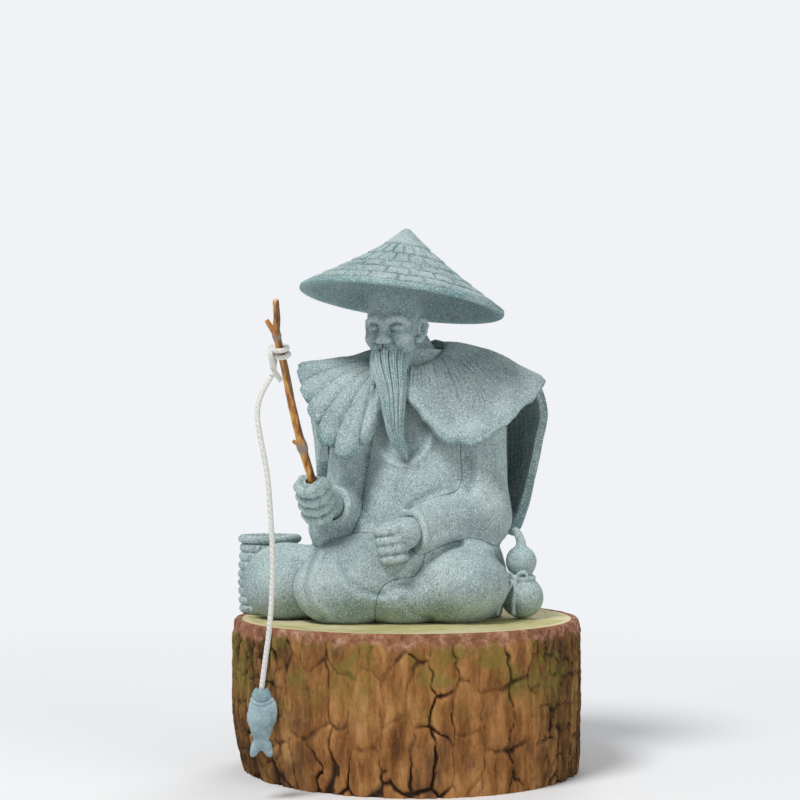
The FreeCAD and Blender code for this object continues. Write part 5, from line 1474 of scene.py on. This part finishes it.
def head():
    clay = Clay((-14.5, -15.5, 96.0), (8.5, 8.5, 124.0), FINE_STEP)
    form = face_lump(clay, (0, -0.8, 3.0), (6.9, 7.6, 9.4))
    form = join(form, face_lump(clay, (0, 1.5, -4.6), (5.0, 5.4, 5.6)), 3.0)
    form = join(form, clay.bone(on_head(0, -0.8, 3.0), on_head(0, -0.6, 12.0), 6.3, 6.0), 2.0)
    form = join(form, clay.bone((1.4, 2.4, 97.0), on_head(0, -2.0, -2.0), 5.6, 4.6), 0.7)
    form = join(form, clay.bone((4.8, 3.2, 101.0), (1.2, 1.8, 107.0), 3.6, 3.4), 2.0)
    for side in (-1, 1):
        form = eye(clay, form, side)
        form = ear(clay, form, side)
        form = join(form, face_lump(clay, (1.25 * side, 7.6, -3.2), (0.85, 1.0, 0.7)), 0.6)
        form = carve(form, face_arc(clay, CHEEK_CREASE, (0.16, 0.22, 0.12), side), 0.6)
        form = brow_hair(clay, form, side)
    form = join(form, clay.bone(on_head(0, 6.9, 1.2), on_head(0, 8.2, -2.4), 0.75, 1.15), 1.3)
    form = join(form, face_lump(clay, (0, 8.1, -2.9), (1.25, 1.25, 1.0)), 0.6)
    form = join(form, clay.bone(on_head(-1.1, 6.4, -6.0), on_head(1.1, 6.4, -6.0), 0.6, 0.6), 0.6)
    form = carve(form, face_arc(clay, MOUTH, (0.1, 0.2, 0.1)), 0.25)
    seat = clay.beyond(HAT_MIDDLE, HAT_LEAN[:, 2]) - HEAD_UNDER_HAT
    form = np.maximum(form, seat) + 0.03 * clay_noise(clay, 0.6, 2, 801)
    clay_piece("sage_head", clay, form, "head", 0.10, 3.0)


def strand_tube(stations, strands, depth, count, turn_shift, seed):
    """A hanging lock, grooved along its strands: stations of point, half width and half depth."""
    rows, share = smooth_path([(*point, wide, deep) for point, wide, deep in stations], count)
    wide, deep, share = rows[:, 3:4], rows[:, 4:5], share[:, None]

    def section(angles):
        turn = angles[None, :] - math.radians(turn_shift) * (1 - share)
        oval = wide * deep / np.sqrt((deep * np.cos(turn)) ** 2 + (wide * np.sin(turn)) ** 2)
        sway = 0.35 * np.sin(share * 9.0 + seed)
        sway = sway + 0.5 * noise([share * 5 + 0 * turn, np.cos(turn) * 1.5], seed)
        phase = turn / TURN * strands
        strand = rounded_pleat(phase + sway * share, 0.55) - 1
        fine = rounded_pleat(phase * 3 + 1.5 * sway * share, 0.7) - 1
        return oval + depth * (strand + 0.32 * fine) * np.minimum(wide, deep)

    return tube_grid(rows[:, :3], np.zeros(count), strands * 20, section)


def beard():
    """Long strands from the jaw that gather into one wavy point, under two falls of the moustache."""
    roots = [(on_head(*place), wide, deep) for place, wide, deep in BEARD_ROOT]
    parts = [strand_tube([*roots, *BEARD_FALL], 12, 0.25, 150, 22.0, 821)]
    for side in (-1, 1):
        fall = [(on_head(x * side, y, z), wide, deep) for (x, y, z), wide, deep in MOUSTACHE]
        parts.append(strand_tube(fall, 6, 0.26, 70, 0.0, 831 + side))
    points, faces = gathered(parts)
    # Painted shade between the strands: six times their crease depth.
    values = {"hollow": 6.0 * hollow_values(points, faces, 4), "stain": np.full(len(points), 0.50)}
    mesh_piece("long_beard", points, faces, "beard", values)


head()
beard()


# Gourd with its ribbon, and the fish. A ribbon's places have x, the sideways part of x, y and z.

GOURD_STEM = ((28.2, -4.2, 54.0), (28.1, -4.2, 56.0), (27.4, -4.2, 57.8), (26.7, -4.2, 58.8))
RIBBON_LOOP = (
    (26.4, 0.0, -6.8, 47.0), (26.4, 1.5, -7.6, 48.4), (26.4, 2.9, -7.4, 48.0), (26.4, 2.6, -7.2, 46.6),
    (26.4, 0.4, -7.0, 46.8),
)
RIBBON_TAIL = (
    (26.3, 0.0, -7.2, 46.8), (25.6, 0.9, -8.3, 44.4), (24.4, 1.5, -9.2, 41.4), (23.9, 2.0, -9.6, 38.6),
)


def gourd():
    clay = Clay((20.5, -12.5, 36.4), (36.0, 3.5, 61.5), 0.2)
    low, high = (28.4, -4.0, 42.2), (28.2, -4.2, 51.0)
    form = join(clay.ellipsoid(low, (5.3, 5.3, 5.2)), clay.ellipsoid(high, (3.8, 3.8, 3.9)), 2.6)
    stem, share = smooth_path(GOURD_STEM, 9)
    form = join(form, clay.chain(list(zip(stem, np.interp(share, (0, 1), (1.2, 0.75)))), 0.3), 0.8)
    x, y, z = clay.seen_from((28.3, -4.1, 47.0))
    ring = np.sqrt((np.sqrt(x * x + y * y) - 2.9) ** 2 + z * z) - 0.6
    form = join(form, ring, 0.25)
    for side in (-1, 1):
        for line, count, radius, blend in ((RIBBON_LOOP, 13, 0.45, 0.15), (RIBBON_TAIL, 10, 0.55, 0.2)):
            ribbon, _ = smooth_path([(x + aside * side, y, z) for x, aside, y, z in line], count)
            form = join(form, clay.chain([(point, radius) for point in ribbon], 0.1), blend)
    form = join(form, clay.ellipsoid((26.4, -7.2, 47.0), (0.9, 0.8, 0.9)), 0.2)
    form = np.maximum(form, LOG_HEIGHT - clay.z) + 0.04 * clay_noise(clay, 0.7, 2, 901)
    clay_piece("bottle_gourd", clay, form, "gourd", 0.25, 2.0)


FISH_NOSE = np.array((-32.8, -45.0, 26.1))
FISH_LENGTH = 16.2
FISH_GILLS = ((5.6, 2.9, 0.22, 0.22, 5.0), (5.8, 4.1, 0.14, 0.2, 4.2))


def fish():
    clay = Clay((-38.0, -48.4, 8.8), (-27.6, -41.6, 27.4), 0.13)
    half = FISH_LENGTH * 0.40
    centre = FISH_NOSE - (0, 0, half)
    x, _, z = clay.seen_from(centre)
    form = clay.ellipsoid(centre, (2.95, 2.1, half))
    root = centre - (0, 0, half * 0.74)
    for side in (-1, 1):
        angle = math.radians(24.0) * side
        down = np.array((math.sin(angle), 0, -math.cos(angle)))
        axes = (np.cross(down, (0, 1, 0)), np.array((0, 1.0, 0)), down)
        form = join(form, clay.ellipsoid(root + down * 2.5, (1.25, 0.75, 2.9), axes), 0.9)
    form = join(form, clay.ellipsoid(centre + (2.6, 0, 0.6), (0.9, 0.6, 2.7)), 0.7)
    form = join(form, clay.ellipsoid(centre + (-2.4, 0, -1.0), (0.8, 0.5, 1.5)), 0.5)
    for level, radius, depth, width, below in FISH_GILLS:
        gill = np.abs(np.sqrt(x ** 2 + (z - level) ** 2) - radius)
        form = form + depth * bell(gill, width) * (z < below)
    scales = np.abs(np.sin(x * 2.4 + z * 2.0)) * np.abs(np.sin(x * 2.4 - z * 2.0))
    form = form - 0.10 * scales * smooth_step(1.6, 0.6, z) * smooth_step(-5.6, -4.4, z)
    rays = np.abs(np.sin(np.arctan2(x, z + 3.5) * 16))
    form = form + 0.08 * rays * smooth_step(-4.6, -6.0, z)
    for face in (-1, 1):
        form = join(form, clay.ellipsoid(centre + (1.0, 1.42 * face, 3.7), (0.5, 0.3, 0.5)), 0.1)
    hole = clay.bone(FISH_NOSE - (0, 0, 1.6), FISH_NOSE + (0, 0, 1.0), 0.92, 1.6)
    form = carve(form, hole, 0.15).astype(np.float32)
    return clay_piece("stone_fish", clay, form, "fish", body="fish", slot="fish_stone", material=FISH)


gourd()
stone_fish = fish()


# Floor, backdrop and light

SURROUND = (0.95, 0.97, 1.0)
SURROUND_SEEN = 0.92
FADE_START = 0.10
FADE_END = 0.42
SURROUND_LIGHT = 0.26
FLOOR_COLOUR = (0.86, 0.87, 0.88)
FLOOR_REACH = 6.0
LAMP_AIM = (0, 0, 0.07)


def stage():
    """A pale floor that keeps the shadow, and fades into the surround's colour away from the object."""
    paint = Paint("pale_floor", 0.8, 0.1)
    paint.shader.inputs["Base Color"].default_value = (*FLOOR_COLOUR, 1)
    glow = paint.add("ShaderNodeEmission")
    glow.inputs["Color"].default_value = (*SURROUND, 1)
    glow.inputs["Strength"].default_value = SURROUND_SEEN
    away = paint.add("ShaderNodeVectorMath", operation="LENGTH")
    paint.link(paint.place, away.inputs[0])
    fade = paint.spread(away.outputs["Value"], FADE_START, FADE_END)
    fade.node.interpolation_type = "SMOOTHSTEP"
    seen = paint.add("ShaderNodeMath", operation="MULTIPLY")
    paint.link(fade, seen.inputs[0])
    paint.link(paint.add("ShaderNodeLightPath").outputs["Is Camera Ray"], seen.inputs[1])
    blend = paint.add("ShaderNodeMixShader")
    paint.link(seen.outputs[0], blend.inputs["Fac"])
    paint.link(paint.shader.outputs["BSDF"], blend.inputs[1])
    paint.link(glow.outputs["Emission"], blend.inputs[2])
    paint.link(blend.outputs[0], paint.tree.nodes["Material Output"].inputs["Surface"])
    data = bpy.data.meshes.new("floor")
    corners = [(x * FLOOR_REACH, y * FLOOR_REACH, 0) for x, y in ((-1, -1), (1, -1), (1, 1), (-1, 1))]
    data.from_pydata(corners, [], [(0, 1, 2, 3)])
    floor = bpy.data.objects.new("floor", data)
    scene.collection.objects.link(floor)
    data.materials.append(paint.material)


def lamp(name, place, size, power):
    """A round soft lamp that looks at the middle of the object. Its place and size are in metres."""
    data = bpy.data.lights.new(name, "AREA")
    data.shape = "DISK"
    data.size = size
    data.energy = power
    item = bpy.data.objects.new(name, data)
    item.location = place
    item.rotation_euler = (Vector(LAMP_AIM) - Vector(place)).to_track_quat("-Z", "Y").to_euler()
    scene.collection.objects.link(item)


def light():
    """Soft daylight from above the viewer's left, a weak fill from the right, and a pale even surround."""
    lamp("key", (-0.38, -0.46, 0.92), 0.35, 7.6)
    lamp("fill", (0.70, -0.60, 0.40), 0.7, 2.0)
    lamp("rim", (0.15, 0.75, 0.60), 0.5, 2.6)
    world = bpy.data.worlds.new("surround")
    scene.world = world
    world.use_nodes = True
    tree = world.node_tree
    background = tree.nodes["Background"]
    background.inputs["Color"].default_value = (*SURROUND, 1)
    path = tree.nodes.new("ShaderNodeLightPath")
    seen = tree.nodes.new("ShaderNodeMath")
    seen.operation = "MAXIMUM"
    tree.links.new(path.outputs["Is Camera Ray"], seen.inputs[0])
    tree.links.new(path.outputs["Is Glossy Ray"], seen.inputs[1])
    strength = tree.nodes.new("ShaderNodeMapRange")
    strength.inputs["To Min"].default_value = SURROUND_LIGHT
    strength.inputs["To Max"].default_value = SURROUND_SEEN
    tree.links.new(seen.outputs[0], strength.inputs["Value"])
    tree.links.new(strength.outputs["Result"], background.inputs["Strength"])


stage()
light()
scene.view_settings.view_transform = "Standard"


bpy.context.view_layer.update()
